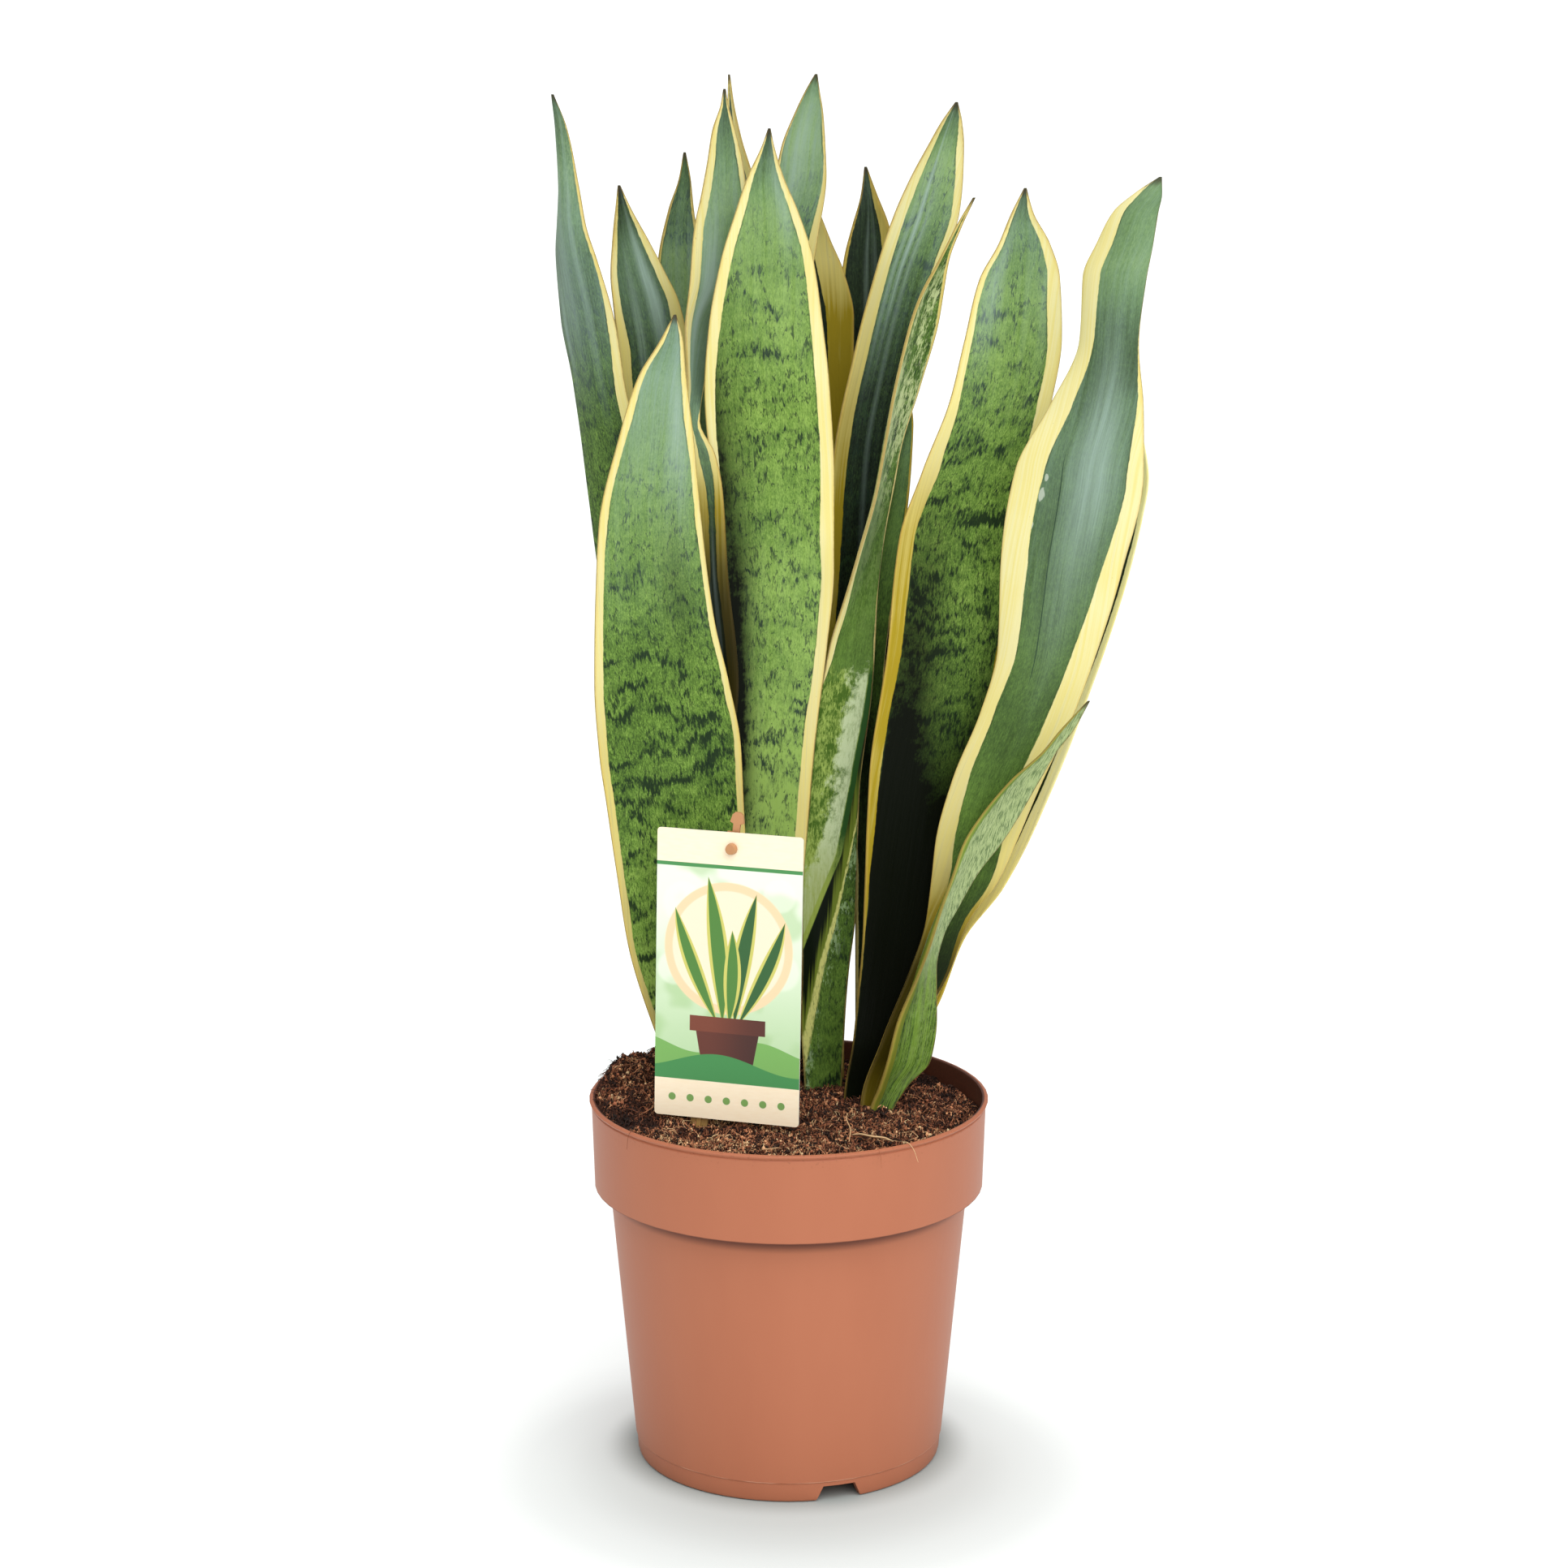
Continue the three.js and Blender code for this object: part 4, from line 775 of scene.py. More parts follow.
# %% Lay the layers over each other
def leaf_finish(name, extra=None, cream=CREAM, deep=DEEP_GOLD, aged=1.0):
    """The finish of a leaf. extra paints on its green, cream and deep are the margin's colours, and aged is how
    brown its edge is."""
    leaf = LeafFinish(name)
    color = paint_bloom(leaf, paint_bands(leaf, paint_green(leaf)))
    if extra:
        color = extra(leaf, color)
    # painted shadows, mottled
    color = leaf.mix(leaf.shadow * (1 + leaf.patch * 0.8 + leaf.dash * 0.5), color, shade(10, 14, 6))
    color = paint_margins(leaf, color, cream, deep, aged)
    dry = 1 - leaf.above(leaf.below_tip + leaf.fibre * 5, 0.8, 5)
    color = leaf.mix(dry * 0.85, color, shade(62, 54, 42))
    # painted shade of the deep clump over the whole leaf, margins too
    color = leaf.mix(leaf.dusk, color, shade(10, 11, 6))
    leaf.feed(Base_Color=color, Roughness=0.38 + leaf.broad_fibre * 0.15 + dry * 0.2)
    leaf.bump(leaf.fibre * 0.5 + leaf.broad_fibre * 1.2 + leaf.dash * 0.2, 0.25, 0.0004)
    return leaf


plain_leaf = leaf_finish("leaf_green_and_cream")
print("nodes in the leaf's finish:", len(plain_leaf.material.node_tree.nodes))

# %% [markdown]
# ### Leaves of their own kind
# Four leaves have something of their own. The far right one is scarred, and the one behind it has a bright, clean
# yellow margin, painted brighter still as light on a side that gets little of it. The twisted one is folded low
# down, and here the fold is only painted: its mottled inner face runs into a valley of painted shade, with the
# turned-over part behind a ridge with a painted highlight. The small one in front is pale and finely scratched
# above, inside a green rim. Three of them get one more layer over the green and the bright one gets its own margin
# colours, so that everything else stays the same for all seventeen.

# %% Paint the scars
SCARS = [(-13.5, 417, 1.4, 3.0), (-15.5, 404, 1.2, 1.8), (-12.6, 424, 0.8, 1.6)]
SPLIT = {"x": -5, "z": 385, "half_width": 0.3, "half_height": 52, "slant": 0.03}


def paint_scars(leaf, color):
    """Small pale scars and a fine dark split."""
    x, z = (leaf.node("SeparateXYZ", [leaf.place], output=k) for k in range(2))
    rough = leaf.grain(leaf.place, (1.5, 3, 1), detail=3)
    for scar_x, scar_z, half_width, half_height in SCARS:
        across, up = (x - scar_x) / half_width, (z - scar_z) / half_height
        spot = 1 - leaf.above(across * across + up * up + (rough - 0.5) * 1.6, 0.6, 1.1)
        color = leaf.mix(spot * 0.8, color, shade(180, 190, 172))
    rise = z - SPLIT["z"]
    across, up = (x - SPLIT["x"] + rise * SPLIT["slant"]) / SPLIT["half_width"], rise / SPLIT["half_height"]
    split = (1 - leaf.above(abs(across), 0.5, 1)) * (1 - leaf.above(abs(up), 0.8, 1))
    return leaf.mix(split * 0.75, color, shade(36, 56, 46))


print("scars:", len(SCARS))


# %% Paint the fold's inner face
def paint_inner_face(leaf, past_valley, below, blot):
    """The mottled face that leads into the valley: a pale lens beside it, yellower low down, and a darker green rim
    of painted shade where it drops into the valley.
    """
    thread = leaf.grain(leaf.place, (0.8, 14, 1), detail=3, roughness=0.65) - 0.5
    low = leaf.above(below + blot * 20, 66, 100)
    speckle = leaf.above(blot * 2 + leaf.dash * 1.8 + leaf.tuft * 0.8 + low * 0.5, -0.3, 0.4)
    face = leaf.mix(speckle, shade(66, 96, 30), shade(148, 170, 84))
    lens = leaf.above(past_valley + blot * 28 + low * 3, -12, -6)
    lens = lens * (1 - leaf.above(past_valley + leaf.tuft * 0.6, -3, -2.2))
    face = leaf.mix(lens * (0.86 + leaf.dash * 1.1 + leaf.tuft + blot * 1.3), face, shade(186, 200, 158))
    face = leaf.mix(low * (0.6 + thread), face, shade(132, 144, 58))
    # painted shade along the valley's edge
    return leaf.mix(leaf.above(past_valley, -2.6, -2.0) * (1 - low), face, shade(38, 74, 30))


print("the fold begins at a height of", FOLD_TOP, "mm")


# %% Paint the fold
def paint_fold(leaf, color):
    """The painted fold: inner face, valley, turned-over part darkened by painted shade towards the valley, and a
    painted highlight along the ridge, by the distance past each line in mm.
    """
    fold = leaf.stored("fold", "Vector")
    past_valley, past_ridge, below = (leaf.node("SeparateXYZ", [fold], output=k) for k in range(3))
    blot = leaf.grain(leaf.place, (7, 10, 1), detail=5, roughness=0.7) - 0.5
    inner = (1 - leaf.above(past_valley, -0.3, 0.3)) * leaf.above(below + blot * 34, -2, 5)
    color = leaf.mix(inner, color, paint_inner_face(leaf, past_valley, below, blot))
    strand = leaf.grain(leaf.place, (0.8, 60, 1), detail=2) - 0.5
    # the turned-over part, painted dark towards the valley as shade in the crease
    turned_over_with_painted_shade = leaf.mix(leaf.above(past_ridge + strand * 8, -4.2, -0.8), shade(12, 20, 8), shade(106, 122, 42))
    valley = leaf.above(past_valley, -0.3, 0.3) * (1 - leaf.above(past_ridge, -0.2, 0.2))
    color = leaf.mix(valley * leaf.above(below, 0, 20), color, turned_over_with_painted_shade)
    outer = leaf.above(past_ridge, -0.1, 0.3) * leaf.above(below, 0, 20)
    silver = leaf.above(leaf.tuft + leaf.dash + blot * 1.4, 0.04, 0.2) * outer * (1 - leaf.above(past_ridge, 3, 9))
    color = leaf.mix(silver * 0.75 * leaf.above(below, 50, 90), color, shade(150, 176, 128))
    wide = 0.35 + leaf.above(below, 70, 160) * 1.7
    # a painted highlight along the ridge, wider and more speckled low down
    painted_ridge_highlight = 1 - leaf.above(abs(past_ridge + leaf.tuft * 1.6 - wide * 0.4) / wide, 0.5, 1.1)
    return leaf.mix(painted_ridge_highlight * (1 + leaf.dash * 3 + leaf.tuft * 1.5), color, shade(204, 204, 122))


print("points on the valley and the ridge:", [len(LEAVES["leaf_twisted"][line]) for line in ("valley", "ridge")])


# %% Paint the scratches
def paint_scratches(leaf, color):
    """Fine dark scratches, slanted across the pale upper part."""
    x, z = (leaf.node("SeparateXYZ", [leaf.place], output=k) for k in range(2))
    high = leaf.above(z, 198, 234)
    slanted = leaf.node("CombineXYZ", [x + z * 0.35, z, 0.0])
    scratch = leaf.above(leaf.grain(slanted, (0.5, 5, 1), detail=4, roughness=0.7), 0.46, 0.6)
    color = leaf.mix(high * (0.8 + leaf.tuft), color, shade(172, 186, 134))
    color = leaf.mix(scratch * high * 0.75, color, shade(66, 92, 54))
    grain = leaf.above(leaf.grain(leaf.place, (0.6, 50, 1), detail=3, roughness=0.6), 0.4, 0.62)
    return leaf.mix(grain * (1 - high) * 0.55, color, shade(128, 160, 62))


# the margin's bright yellow, made brighter still as painted light, since that side gets little light
YELLOW_WITH_PAINTED_LIGHT = (shade(255, 244, 156), shade(255, 250, 190))
GREEN_RIM = (shade(98, 124, 44), shade(128, 152, 64))
own_finishes = {
    "leaf_far_right": leaf_finish("leaf_with_scars", paint_scars),
    "leaf_far_right_back": leaf_finish("leaf_with_painted_light_on_margin", cream=YELLOW_WITH_PAINTED_LIGHT, deep=shade(214, 184, 66),
                                       aged=0.15),
    "leaf_twisted": leaf_finish("leaf_with_painted_fold", paint_fold),
    "leaf_small_front": leaf_finish("leaf_scratched", paint_scratches, GREEN_RIM, shade(112, 116, 38)),
}
print("leaves with a finish of their own:", len(own_finishes))

# %% Make the leaves
for number, (name, leaf) in enumerate(LEAVES.items()):
    piece = leaf_piece(number, name, leaf, own_finishes.get(name, plain_leaf))
    low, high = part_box(name)
    grown = [max(abs(a - b) for a, b in zip(corner, limit)) / MM for corner, limit in (
        ([min(v.co[k] for v in piece.data.vertices) for k in range(3)], low),
        ([max(v.co[k] for v in piece.data.vertices) for k in range(3)], high))]
    print(f"{name}: within {max(grown):.1f} mm of its solid's box")

# %% [markdown]
# ## The soil
# Coir is the fibre of coconut husks, chopped and packed. From nearby it is a felt of short curly hairs over dark
# lumps. A displaced surface alone looks like mud, and hair particles can't be exported, so the lumps are a fine
# mesh and the hairs are real thin tubes that lie on it.


# %% Shape the soil
def soil_height(x, y):
    """The frame's soil: heaped up at the back left, lower at the right, and slightly lumpy."""
    heap = 9 * np.exp(-((x + 60) ** 2 + (y - 34) ** 2) / 38**2)
    dip = 3 * np.exp(-((x + 67) ** 2 + (y + 30) ** 2) / 14**2)
    lumps = 0.9 * np.sin(x / 9 + 1) * np.cos(y / 11) + 0.6 * np.sin(x / 5 - y / 6)
    return SOIL_LEVEL + heap - dip + lumps - 0.035 * x - 0.02 * y


def crumble(x, y):
    """Lumps from 14 mm down to 1.4 mm, clods along the heap's edge and a pit at the stick's foot."""
    rough = 0.0
    for size, height in ((14, 1.6), (6, 1.3), (2.8, 0.9), (1.4, 0.6)):
        rough += height * noise.noise(Vector((x / size, y / size, size)))
    azimuth = math.degrees(math.atan2(y, x)) % 360
    near_edge = max(0, 1 - abs(math.hypot(x, y) - 77) / 8) * max(0, 1 - abs(azimuth - 150) / 45)
    pit = 6.5 * math.exp(-(((x + 37) / 9) ** 2) - ((y + 45) / 9) ** 2)
    return rough + near_edge * (1.6 + 5 * noise.noise(Vector((x / 6, y / 6, 31.0)))) - pit


def soil_surface(x, y):
    """The height of the soil with its lumps, where hairs and crumbs lie."""
    return float(soil_height(x, y)) + crumble(x, y)


def soil_lightness_and_painted_shade(x, y):
    """How light the soil is: patchy, darker to the right and the back, and darkest in the hollow at the left, as
    painted shade.
    """
    hollow = math.exp(-((x + 66) ** 2 + (y + 28) ** 2) / 13**2)
    broad, small = noise.noise(Vector((x / 8, y / 8, 3.0))), noise.noise(Vector((x / 3, y / 3, 9.0)))
    light = 0.96 + 0.75 * broad + 0.5 * small - 0.9 * hollow - 0.0012 * x - 0.003 * (y + 40)
    return min(1.2, max(0.15, light))


on_heap, at_right = soil_surface(-60, 34), soil_surface(60, -30)
print(f"the soil is {on_heap:.0f} mm high on its heap and {at_right:.0f} mm at the right")

# %% Build the soil's mesh
SOIL_RADIUS = 81.9
SOIL_RINGS = 130
SOIL_SPOKES = 330
SOIL_SIDE = [(81.1, 122.4), (74.4, 122.4), (63.7, 8.4)]
soil_points = [(0, 0, soil_surface(0, 0))]
for ring in range(1, SOIL_RINGS + 1):
    radius = SOIL_RADIUS * (ring / SOIL_RINGS) ** 0.85
    for spoke in range(SOIL_SPOKES):
        angle = 2 * math.pi * spoke / SOIL_SPOKES
        x, y = radius * math.cos(angle), radius * math.sin(angle)
        soil_points.append((x, y, soil_surface(x, y)))
for radius, height in SOIL_SIDE:
    for spoke in range(SOIL_SPOKES):
        angle = 2 * math.pi * spoke / SOIL_SPOKES
        soil_points.append((radius * math.cos(angle), radius * math.sin(angle), height))
soil_points.append((0, 0, SOIL_SIDE[-1][1]))
soil_faces = []
rings = SOIL_RINGS + len(SOIL_SIDE)
for spoke in range(SOIL_SPOKES):
    following = (spoke + 1) % SOIL_SPOKES
    soil_faces.append((0, 1 + spoke, 1 + following))
    for ring in range(rings - 1):
        inner, outer = 1 + ring * SOIL_SPOKES, 1 + (ring + 1) * SOIL_SPOKES
        soil_faces.append((inner + spoke, outer + spoke, outer + following, inner + following))
    last = 1 + (rings - 1) * SOIL_SPOKES
    soil_faces.append((last + following, last + spoke, len(soil_points) - 1))
print("points in the soil:", len(soil_points))

# %% Paint the soil
earth = Finish("coir_soil", Roughness=0.95, Specular_IOR_Level=0.2)
earth_place = earth.node("TexCoord", output="Object")
clod = earth.grain(earth_place, (0.009, 0.009, 0.009), detail=5, roughness=0.7)
crumb = earth.grain(earth_place, (0.0013, 0.0013, 0.0013), detail=4, roughness=0.7)
EARTHS = [(0.38, shade(14, 8, 6)), (0.54, shade(64, 36, 25)), (0.7, shade(130, 80, 56))]
earth.feed(Base_Color=earth.node("ValToRGB", [clod * 0.45 + crumb * 0.55], stops=EARTHS))
earth.bump(crumb, 0.8, 0.0012)

hair = Finish("coir_hair", Roughness=0.7, Specular_IOR_Level=0.3)
hair_tone = hair.node("Attribute", output="Fac", attribute_name="tone")
HAIRS = [(0, shade(20, 11, 8)), (0.25, shade(70, 41, 29)), (0.55, shade(168, 102, 70)),
         (0.85, shade(224, 160, 114)), (1, shade(232, 196, 148))]
hair.feed(Base_Color=hair.node("ValToRGB", [hair_tone], stops=HAIRS))
soil = make_piece("soil_surface", soil_points, soil_faces, earth)
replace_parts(soil, "soil")
print("soil from", SOIL_SIDE[-1][1], "to", round(max(p[2] for p in soil_points), 1), "mm")

# %% [markdown]
# ### Hairs and crumbs
# A hair is a three-sided tube along a short curved walk over the soil. Its ends dip into the lumps and its middle
# arches out. Most are short and dark. Some are long and pale, and the heap at the back left frays over the pot's
# rim.

# %% Define tubes
TUBE_CORNERS = (0.5, 2.594, 4.689)      # angles of a three-sided tube's corners


def tube_batch(paths, radii, tones):
    """Points, faces and tones of three-sided tapered tubes along paths with the same number of points."""
    paths = np.asarray(paths, float)
    count, steps, _ = paths.shape
    ahead = np.gradient(paths, axis=1)
    ahead /= np.linalg.norm(ahead, axis=2, keepdims=True) + 1e-9
    side = np.cross(ahead, (0.13, 0.21, 0.97))
    side /= np.linalg.norm(side, axis=2, keepdims=True) + 1e-9
    up = np.cross(side, ahead)
    taper = 0.35 + 0.65 * np.sin(np.linspace(0.12, 0.88, steps) * math.pi)
    thick = np.asarray(radii)[:, None, None] * taper[None, :, None]
    corners = [paths + thick * (math.cos(a) * side + math.sin(a) * up) for a in TUBE_CORNERS]
    points = np.stack(corners, 2).reshape(-1, 3)
    tube = np.arange(count)[:, None, None] * steps * 3
    step = np.arange(steps - 1)[None, :, None] * 3
    a = tube + step + np.arange(3)[None, None, :]
    b = tube + step + (np.arange(3)[None, None, :] + 1) % 3
    faces = np.stack([a, b, b + 3, a + 3], -1).reshape(-1, 4).tolist()
    for first in range(0, count * steps * 3, steps * 3):
        end = first + (steps - 1) * 3
        faces += [[first + 2, first + 1, first], [end, end + 1, end + 2]]
    return points, faces, np.repeat(np.asarray(tones, float), steps * 3)


def hair_walks(random, count, steps, length, curl, lift, spread=80):
    """Curved walks over the soil, each as steps of x, y and z."""
    walks = []
    while len(walks) < count:
        radius, angle = spread * math.sqrt(random.random()), random.uniform(0, 2 * math.pi)
        x, y, heading = radius * math.cos(angle), radius * math.sin(angle), random.uniform(0, 2 * math.pi)
        stride = random.uniform(*length) / (steps - 1)
        turn = random.normal(0, curl)
        arch = lift * random.uniform(0.2, 1)
        walk = []
        for step in range(steps):
            share = step / (steps - 1)
            z = soil_surface(x, y) - 0.35 + arch * math.sin(math.pi * share) + 0.15 * random.random()
            walk.append((x, y, z))
            heading += turn + random.normal(0, curl / 2)
            x, y = x + stride * math.cos(heading), y + stride * math.sin(heading)
        if max(math.hypot(px, py) for px, py, _ in walk) < SOIL_RADIUS - 0.3:
            walks.append(walk)
    return walks

# %% Scatter the hairs
HAIR_KINDS = {
    "soil_felt": {"count": 6000, "steps": 5, "length": (2, 6.5), "curl": 0.8, "lift": 2.2,
                  "radius": (0.12, 0.3), "pale": 1.0},
    "soil_fuzz": {"count": 9500, "steps": 3, "length": (1, 2.6), "curl": 0.9, "lift": 2.6,
                  "radius": (0.09, 0.2), "pale": 1.05},
    "soil_strands": {"count": 340, "steps": 9, "length": (10, 26), "curl": 0.4, "lift": 3.0,
                     "radius": (0.1, 0.2), "pale": 1.2},
}
random = np.random.default_rng(7)
for name, kind in HAIR_KINDS.items():
    walks = hair_walks(random, kind["count"], kind["steps"], kind["length"], kind["curl"], kind["lift"])
    light = [soil_lightness_and_painted_shade(*walk[1][:2]) * kind["pale"] for walk in walks]
    tones = random.beta(1.1, 1.1, len(walks)) * light
    points, faces, tones = tube_batch(walks, random.uniform(*kind["radius"], len(walks)), tones)
    make_piece(name, points, faces, hair, {"tone": ("FLOAT", tones)})
    print(name, len(walks))

# %% Fray the heap over the rim
HEAP_AZIMUTH = (108, 188)
FRAY_HAIRS = 520
FRAY_STEPS = 7
RIM_BAND = (81, 85.4)            # radii between which a hair lies on the rim
ON_RIM = 159.4
fray = []
for _ in range(FRAY_HAIRS):
    azimuth = math.radians(random.uniform(*HEAP_AZIMUTH))
    radius = random.uniform(72, 81.5)
    x, y = radius * math.cos(azimuth), radius * math.sin(azimuth)
    z = soil_surface(x, y) - 0.5
    heading = azimuth + random.normal(0, 0.9)
    climb = random.uniform(0.0, 0.7)
    stride = random.uniform(2, 5) / (FRAY_STEPS - 1)
    path = []
    for _ in range(FRAY_STEPS):
        path.append((x, y, z))
        x, y = x + stride * math.cos(heading), y + stride * math.sin(heading)
        z += stride * climb
        climb -= random.uniform(0.1, 0.4)
        heading += random.normal(0, 0.4)
        if RIM_BAND[0] < math.hypot(x, y) < RIM_BAND[1]:
            z = max(z, ON_RIM)
    fray.append(path)
radii, tones = random.uniform(0.09, 0.17, len(fray)), random.beta(1.6, 3, len(fray)) * 0.75
points, faces, tones = tube_batch(fray, radii, tones)
make_piece("soil_fray", points, faces, hair, {"tone": ("FLOAT", tones)})
print("hairs over the rim:", len(fray))

# %% Scatter crumbs
OCTAHEDRON = np.array([(1, 0, 0), (0, 1, 0), (-1, 0, 0), (0, -1, 0), (0, 0, 1), (0, 0, -1)], float)
OCTAHEDRON_FACES = np.array([(0, 1, 4), (1, 2, 4), (2, 3, 4), (3, 0, 4),
                             (1, 0, 5), (2, 1, 5), (3, 2, 5), (0, 3, 5)])
CRUMBS = 11000
CRUMB_REACH = 80.5
crumb_points, crumb_faces, crumb_tones = [], [], []
for number in range(CRUMBS):
    radius, angle = CRUMB_REACH * math.sqrt(random.random()), random.uniform(0, 2 * math.pi)
    x, y = radius * math.cos(angle), radius * math.sin(angle)
    size = random.uniform(0.3, 0.55) if number % 3 else random.uniform(0.5, 1.1)
    spin = np.array(Matrix.Rotation(random.uniform(0, math.pi), 3, Vector(random.normal(0, 1, 3))))
    shape = OCTAHEDRON * random.uniform(0.5, 1.3, (6, 3)) * size @ spin.T
    crumb_points.append(shape + (x, y, soil_surface(x, y) + size * random.uniform(0.2, 1.6)))
    crumb_faces.append(OCTAHEDRON_FACES + 6 * number)
    crumb_tones += [random.choice((0.08, random.uniform(0.3, 0.95))) * soil_lightness_and_painted_shade(x, y)] * 6
crumb_points, crumb_faces = np.concatenate(crumb_points), np.concatenate(crumb_faces).tolist()
make_piece("soil_crumbs", crumb_points, crumb_faces, hair, {"tone": ("FLOAT", crumb_tones)})
print("crumbs:", CRUMBS)

# %% [markdown]
# ### Single roots
# A pale piece of root lies near the front. Two thin hairs run from it, one back over the soil and one over the
# rim, and a few more lie along the front edge. They are few and each is seen by itself, so each is a smooth route
# through a handful of points, made into a tube like the hairs.


# %% Lay the roots
def route(points, steps=24):
    """A smooth route of this many steps through points."""
    points = np.asarray(points, float)
    along = np.concatenate([[0], np.cumsum(np.linalg.norm(np.diff(points, axis=0), axis=1))])
    at = np.linspace(0, along[-1], steps)
    return np.stack([curve_through(along, points[:, k])(at) for k in range(3)], -1)


ROOTS = [
    ([(26, -48.5, 156.4), (30, -51, 157.5), (35, -54.4, 157.6), (39, -56, 157.7), (43, -58.6, 156.8)], 0.66, 0.98),
    ([(25, -16, 155.4), (24.2, -28, 157), (25.6, -44, 157), (24.8, -60, 157.2)], 0.28, 0.95),
    ([(38, -56, 157), (44, -61, 157.8), (48.5, -68.2, 159.6), (51, -69.6, 157.2), (53, -71.4, 152)], 0.16, 1.0),
    ([(33, -66, 155.8), (35.5, -74, 159.9), (37.4, -77, 157), (37.8, -77.6, 151.6)], 0.14, 0.55),
    ([(-62, -48, 156), (-65, -53.6, 159.8), (-66.4, -55, 157.6), (-67, -55.6, 152.5)], 0.14, 0.4),
    ([(-12, -68, 156), (-9, -71, 157.6), (-5, -70.4, 157.9), (-3, -67, 156.4)], 0.3, 0.95),
]
routes, radii, tones = zip(*[(route(points), radius, tone) for points, radius, tone in ROOTS])
points, faces, tones = tube_batch(routes, radii, tones)
make_piece("soil_roots", points, faces, hair, {"tone": ("FLOAT", tones)})
print("roots:", len(ROOTS))

# %% [markdown]
# ## The pot
# The pot is injection-moulded in terracotta-coloured plastic: an even satin surface, a fine ridge round the foot
# with a broken pale line of painted highlight on it, and a little soil dust under the rim. Painted shade darkens it
# right under the band and on its inside above the soil. Its frame solid has sharp edges, and no moulding has those,
# so a narrow bevel rounds them without touching the solid's own mesh.


# %% Soften the frame's solids
def soften(node, width, angle=30):
    """Smooth shading with narrow rounded edges, by modifiers that leave the node's mesh as it is."""
    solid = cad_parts[node]
    bpy.context.view_layer.objects.active = solid
    bpy.ops.mesh.customdata_custom_splitnormals_clear()
    solid.data.polygons.foreach_set("use_smooth", [True] * len(solid.data.polygons))
    weld = solid.modifiers.new("weld", "WELD")
    weld.merge_threshold = 0.005 * MM
    bevel = solid.modifiers.new("bevel", "BEVEL")
    bevel.width, bevel.segments = width * MM, 2
    bevel.angle_limit = math.radians(angle)
    bevel.harden_normals = True
    return solid


def refinish(node, finish):
    """Give a node of the frame this finish."""
    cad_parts[node].material_slots[0].material = finish.material


for node, width in (("pot", 0.3), ("label_card", 0.12), ("label_stick", 0.25)):
    soften(node, width)
print("softened the pot, the card and the stick")

# %% Paint the pot
FOOT_RIDGE = 9
BAND_BOTTOM = 120.4
pot = Finish("terracotta_plastic", Specular_IOR_Level=0.3)
pot_place = pot.node("TexCoord", output="Object")
pot_x, pot_y, pot_z = (pot.node("SeparateXYZ", [pot_place], output=k) / MM for k in range(3))
flow = pot.grain(pot_place, (0.03, 0.03, 0.09), detail=3)
speck = pot.grain(pot_place, (0.0011, 0.0011, 0.0011), detail=3)
color = pot.mix(flow, shade(168, 99, 70), shade(178, 109, 79))
# a broken pale line of painted highlight on the ledge round the foot
ridge_highlight_breaks = pot.above(pot.grain(pot_place, (0.012, 0.012, 0.02), detail=4), 0.35, 0.6)
ridge = (1 - pot.above(abs(pot_z - FOOT_RIDGE), 0.12, 0.4)) * ridge_highlight_breaks
color = pot.mix(ridge * 0.6, color, shade(216, 160, 132))
near_rim = pot.above(pot_z, 150, 159)
dust = near_rim * pot.above(speck, 0.6, 0.72) * 0.5
color = pot.mix(dust, color, shade(120, 74, 52))
# painted shade right under the band
under = (1 - pot.above(BAND_BOTTOM - pot_z, 2.2, 7)) * pot.above(BAND_BOTTOM - pot_z, -0.6, 0)
color = pot.mix(under * 0.8, color, shade(84, 38, 26))
level_place = pot.node("CombineXYZ", [pot_x, pot_y, 0.0])
from_axis = pot.node("VectorMath", [level_place], output="Value", operation="LENGTH")
# painted shade on the inside of the wall above the soil
inside = (1 - pot.above(from_axis, 83, 83.6)) * pot.above(pot_z, 145, 148)
color = pot.mix(inside * (0.95 - speck * 0.2), color, shade(58, 28, 21))
pot.feed(Base_Color=color, Roughness=0.42 + flow * 0.1 + dust * 0.3)
pot.bump(speck * 0.3 + pot.grain(pot_place, (0.006, 0.006, 0.006), detail=2), 0.12, 0.0004)
refinish("pot", pot)
print("nodes in the pot's finish:", len(pot.material.node_tree.nodes))

# %% [markdown]
# ## The label
# A printed card hangs on the peg of a ribbed plastic stick. The print is a plain design of its own: a kraft band,
# a soft pale green ground and a simple plant in a pot over green hills. The shader draws it from the card's own
# coordinates in millimetres, which keeps every edge of the print crisp.

# %% Find the card's own coordinates
CARD_CENTRE = (-25, -33, 220)
CARD_YAW = -18
CARD_LEAN = -3
card_turn = Matrix.Rotation(math.radians(CARD_YAW), 3, "Z") @ Matrix.Rotation(math.radians(CARD_LEAN), 3, "X")
card_axes = [tuple(card_turn.col[k]) for k in range(3)]
card = Finish("printed_card", Roughness=0.38, Specular_IOR_Level=0.45)
card_place = card.node("TexCoord", output="Object")
on_card = card.node("VectorMath", [card_place, [-c * MM for c in CARD_CENTRE]], operation="ADD")
u, depth, v = (card.node("VectorMath", [on_card, axis], output="Value", operation="DOT_PRODUCT") / MM
               for axis in card_axes)
print("the card's face looks along", [round(-c, 2) for c in card_axes[1]])


# %% Draw the ground and the sun
def past(distance):
    """The print starts where the distance in mm goes above 0, with an edge as sharp as a press gives."""
    return card.above(distance, -0.1, 0.15)


def disc(centre_u, centre_v, radius, soft):
    """A round spot on the card. soft is how much its edge fades."""
    across, up = (u - centre_u) / radius, (v - centre_v) / radius
    return 1 - card.above(across * across + up * up, 1 - soft, 1 + soft)


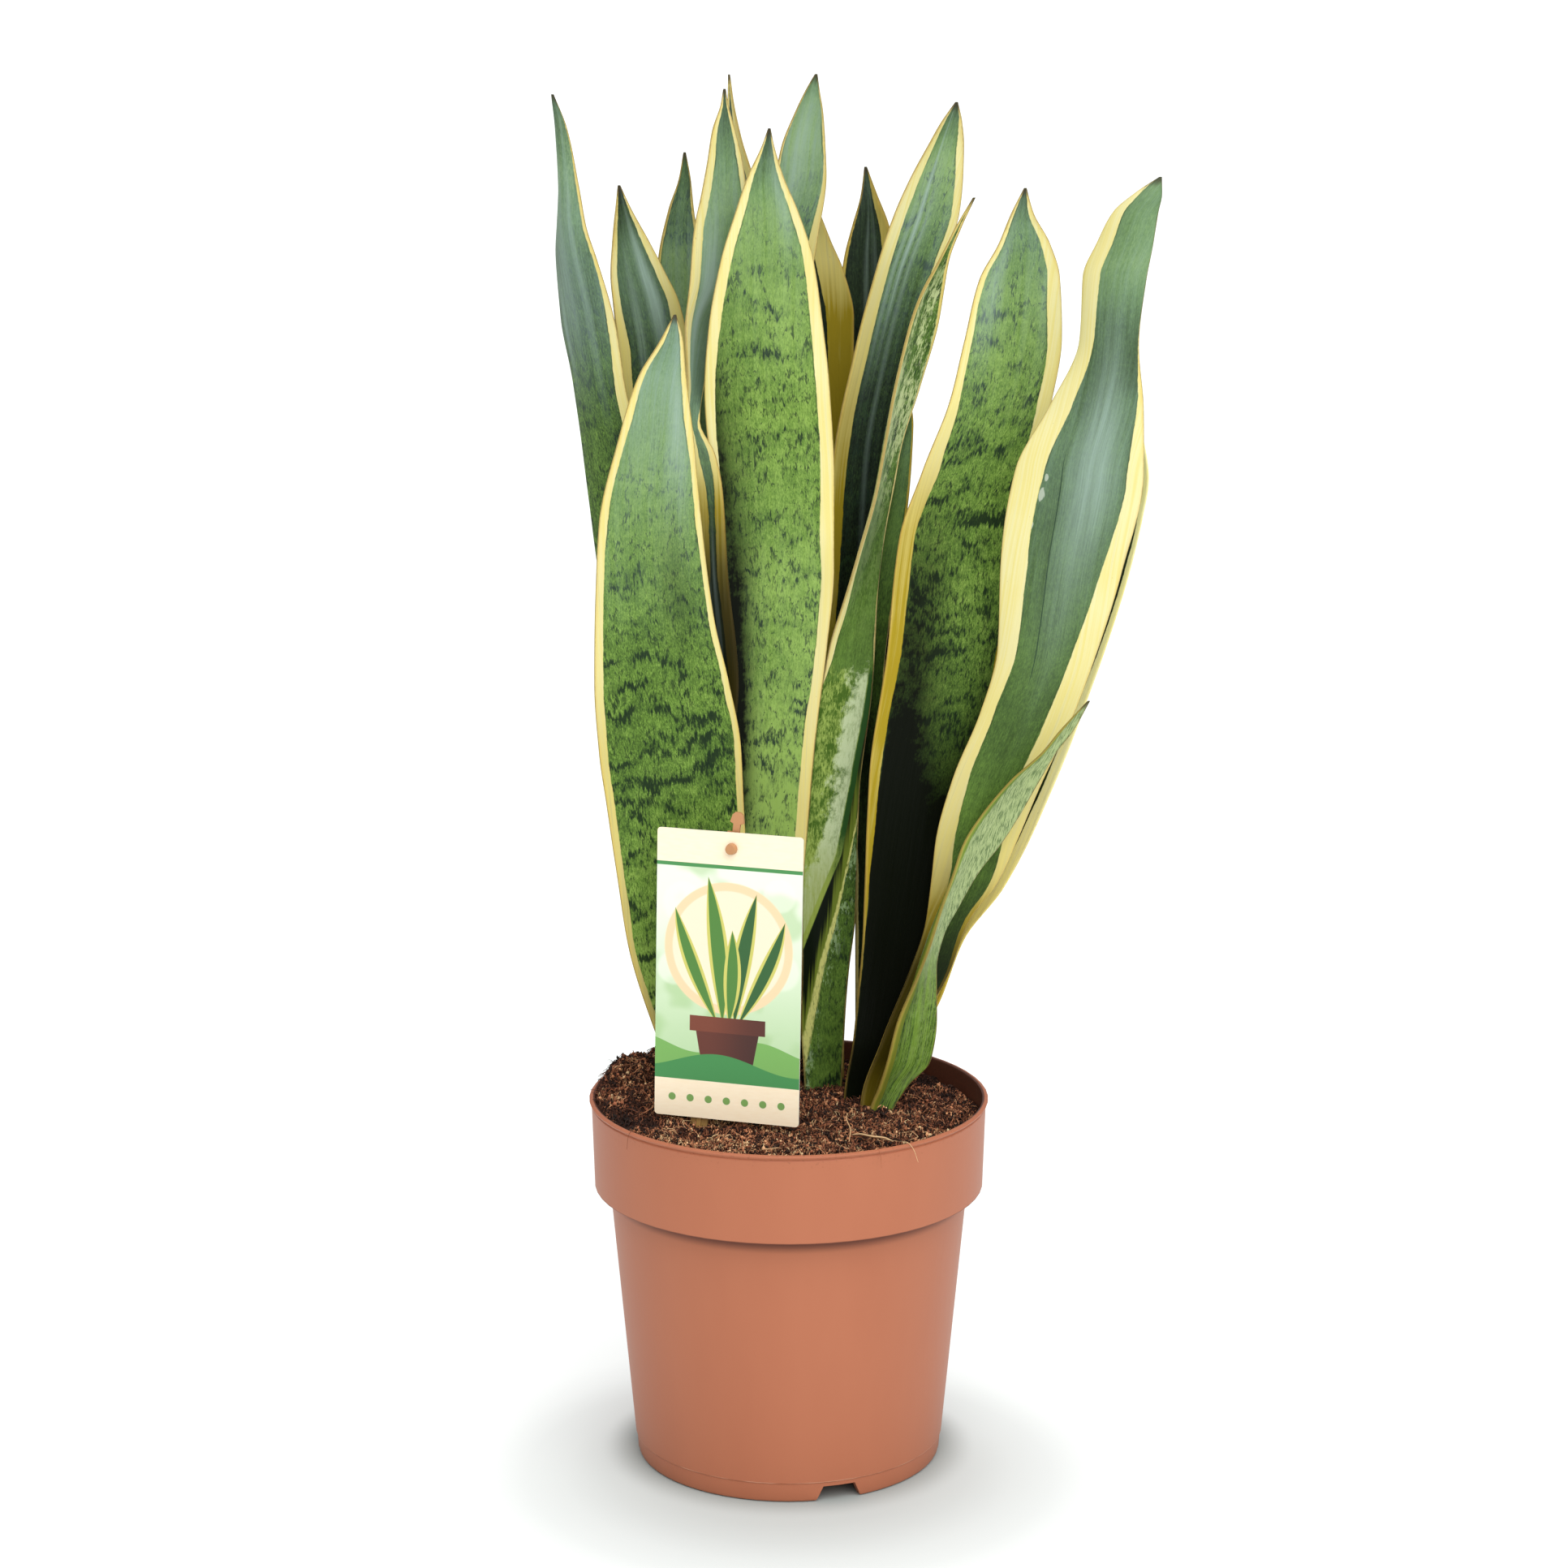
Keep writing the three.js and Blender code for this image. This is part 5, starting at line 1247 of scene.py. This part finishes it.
def blade_print(root_u, root_v, length, half_width, lean, bow):
    """A pointed blade: how far u is from its bent middle line, against its width at that height."""
    t = (v - root_v) / length
    middle = root_u + t * lean + t * (1 - t) * bow
    inside = t * (1 - t) * 4 * half_width - abs(u - middle)
    return past(inside) * card.above(t, 0.0, 0.02)


ground = card.mix(card.above(v, -40, 46), shade(184, 212, 166), shade(234, 240, 222))
blur = card.grain(card_place, (0.016, 0.016, 0.016), detail=1)
ground = card.mix(card.above(blur, 0.5, 0.66) * 0.55, ground, shade(156, 194, 128))
for spot_u, spot_v, radius in ((-20, 30, 9), (22, 36, 7), (23, 4, 8), (-24, 2, 7)):
    ground = card.mix(disc(spot_u, spot_v, radius, 0.25) * 0.4, ground, shade(242, 244, 230))
SUN_RADIUS, SUN_CORE = 28, 24.5
ground = card.mix(disc(0, 12, SUN_RADIUS, 0.03), ground, shade(238, 208, 166))
ground = card.mix(disc(0, 12, SUN_CORE, 0.03), ground, shade(242, 226, 198))
print("the sun on the card is", 2 * SUN_RADIUS, "mm across")

# %% Draw the plant on the card
BLADES = [(-4.5, -20, 48, 3.8, -19, -6), (4.5, -20, 45, 3.8, 20, 7), (-2.2, -20, 62, 4.4, -7, 5),
          (3, -20, 56, 4.2, 9, -5), (0.6, -20, 40, 3.8, 1, 3)]
for number, blade in enumerate(BLADES):
    leaf_print = blade_print(*blade)
    core = blade_print(*blade[:3], blade[3] - 1.4, *blade[4:])
    ground = card.mix(leaf_print, ground, shade(200, 196, 100))
    ground = card.mix(core, ground, shade(44, 92, 44) if number % 2 else shade(76, 126, 52))
pot_side = 14.5 + (v + 20) * 0.18 - abs(u)
pot_print = past(pot_side) * card.above(v, -43.2, -43) * (1 - card.above(v, -19.2, -19))
ground = card.mix(pot_print, ground, card.mix(card.above(u, -10, 12), shade(96, 44, 30), shade(66, 29, 22)))
pot_band = past(16.6 - abs(u)) * card.above(v, -24.1, -23.9) * (1 - card.above(v, -17.5, -17.3))
ground = card.mix(pot_band, ground, card.mix(card.above(u, -10, 14), shade(118, 58, 38), shade(84, 38, 27)))
print("blades on the card:", len(BLADES))

# %% Draw the hills
wave = card.node("Math", [u * 0.12], operation="SINE")
far_hill = 1 - past(v + 30 - wave * 3.2)
near_wave = card.node("Math", [u * 0.09 + 2], operation="SINE")
near_hill = 1 - past(v + 37 - near_wave * 3.6)
ground = card.mix(far_hill * (1 - pot_print), ground, shade(118, 172, 88))
ground = card.mix(near_hill, ground, shade(64, 138, 74))
print("nodes in the print:", len(card.material.node_tree.nodes))

# %% Add the card's bands and finish
PAPER = shade(240, 236, 224)
pulp = card.grain(card_place, (0.004, 0.004, 0.001), detail=3)
kraft = card.mix(pulp, shade(249, 228, 194), shade(255, 240, 212))
ground = card.mix(1 - card.above(v, -45.3, -45.1), ground, kraft)
ground = card.mix(card.above(v, 47.1, 47.3), ground, kraft)
ground = card.mix(card.above(v, 45.5, 45.7) * (1 - card.above(v, 47.1, 47.3)), ground, shade(70, 138, 76))
period = card.node("Math", [u + 100, 8.0], operation="MODULO") - 4
row = v + 53
dot = 1 - card.above(period * period + row * row, 2.2, 2.9)
ground = card.mix(dot * card.above(30 - abs(u), 0, 0.2), ground, shade(120, 160, 84))
printed = 1 - card.above(depth, -0.66, -0.6)
card.feed(Base_Color=card.mix(printed, PAPER, ground))
card.bump(card.grain(card_place, (0.0009, 0.0009, 0.0009)), 0.05, 0.0001)
refinish("label_card", card)
print("nodes in the card's finish:", len(card.material.node_tree.nodes))

# %% [markdown]
# ### The stick
# The stick is moulded in pale brown plastic, and its ribs are in the frame's solid already. Its head and its peg
# are more salmon than its foot, so its colour changes with the height. Fine streaks from the moulding run along
# it: one noise, stretched far along the height, gives them without any more geometry.

# %% Paint the stick
stick = Finish("stick_plastic", Roughness=0.45)
stick_place = stick.node("TexCoord", output="Object")
stick_height = stick.node("SeparateXYZ", [stick_place], output=2) / MM
tint = stick.mix(stick.above(stick_height, 260, 278), shade(146, 114, 56), shade(188, 128, 84))
streak = stick.grain(stick_place, (0.0008, 0.0008, 0.03), detail=3)
stick.feed(Base_Color=stick.mix(streak * 0.5, tint, shade(184, 146, 98)))
stick.bump(streak, 0.15, 0.0003)
refinish("label_stick", stick)
print("stick painted")
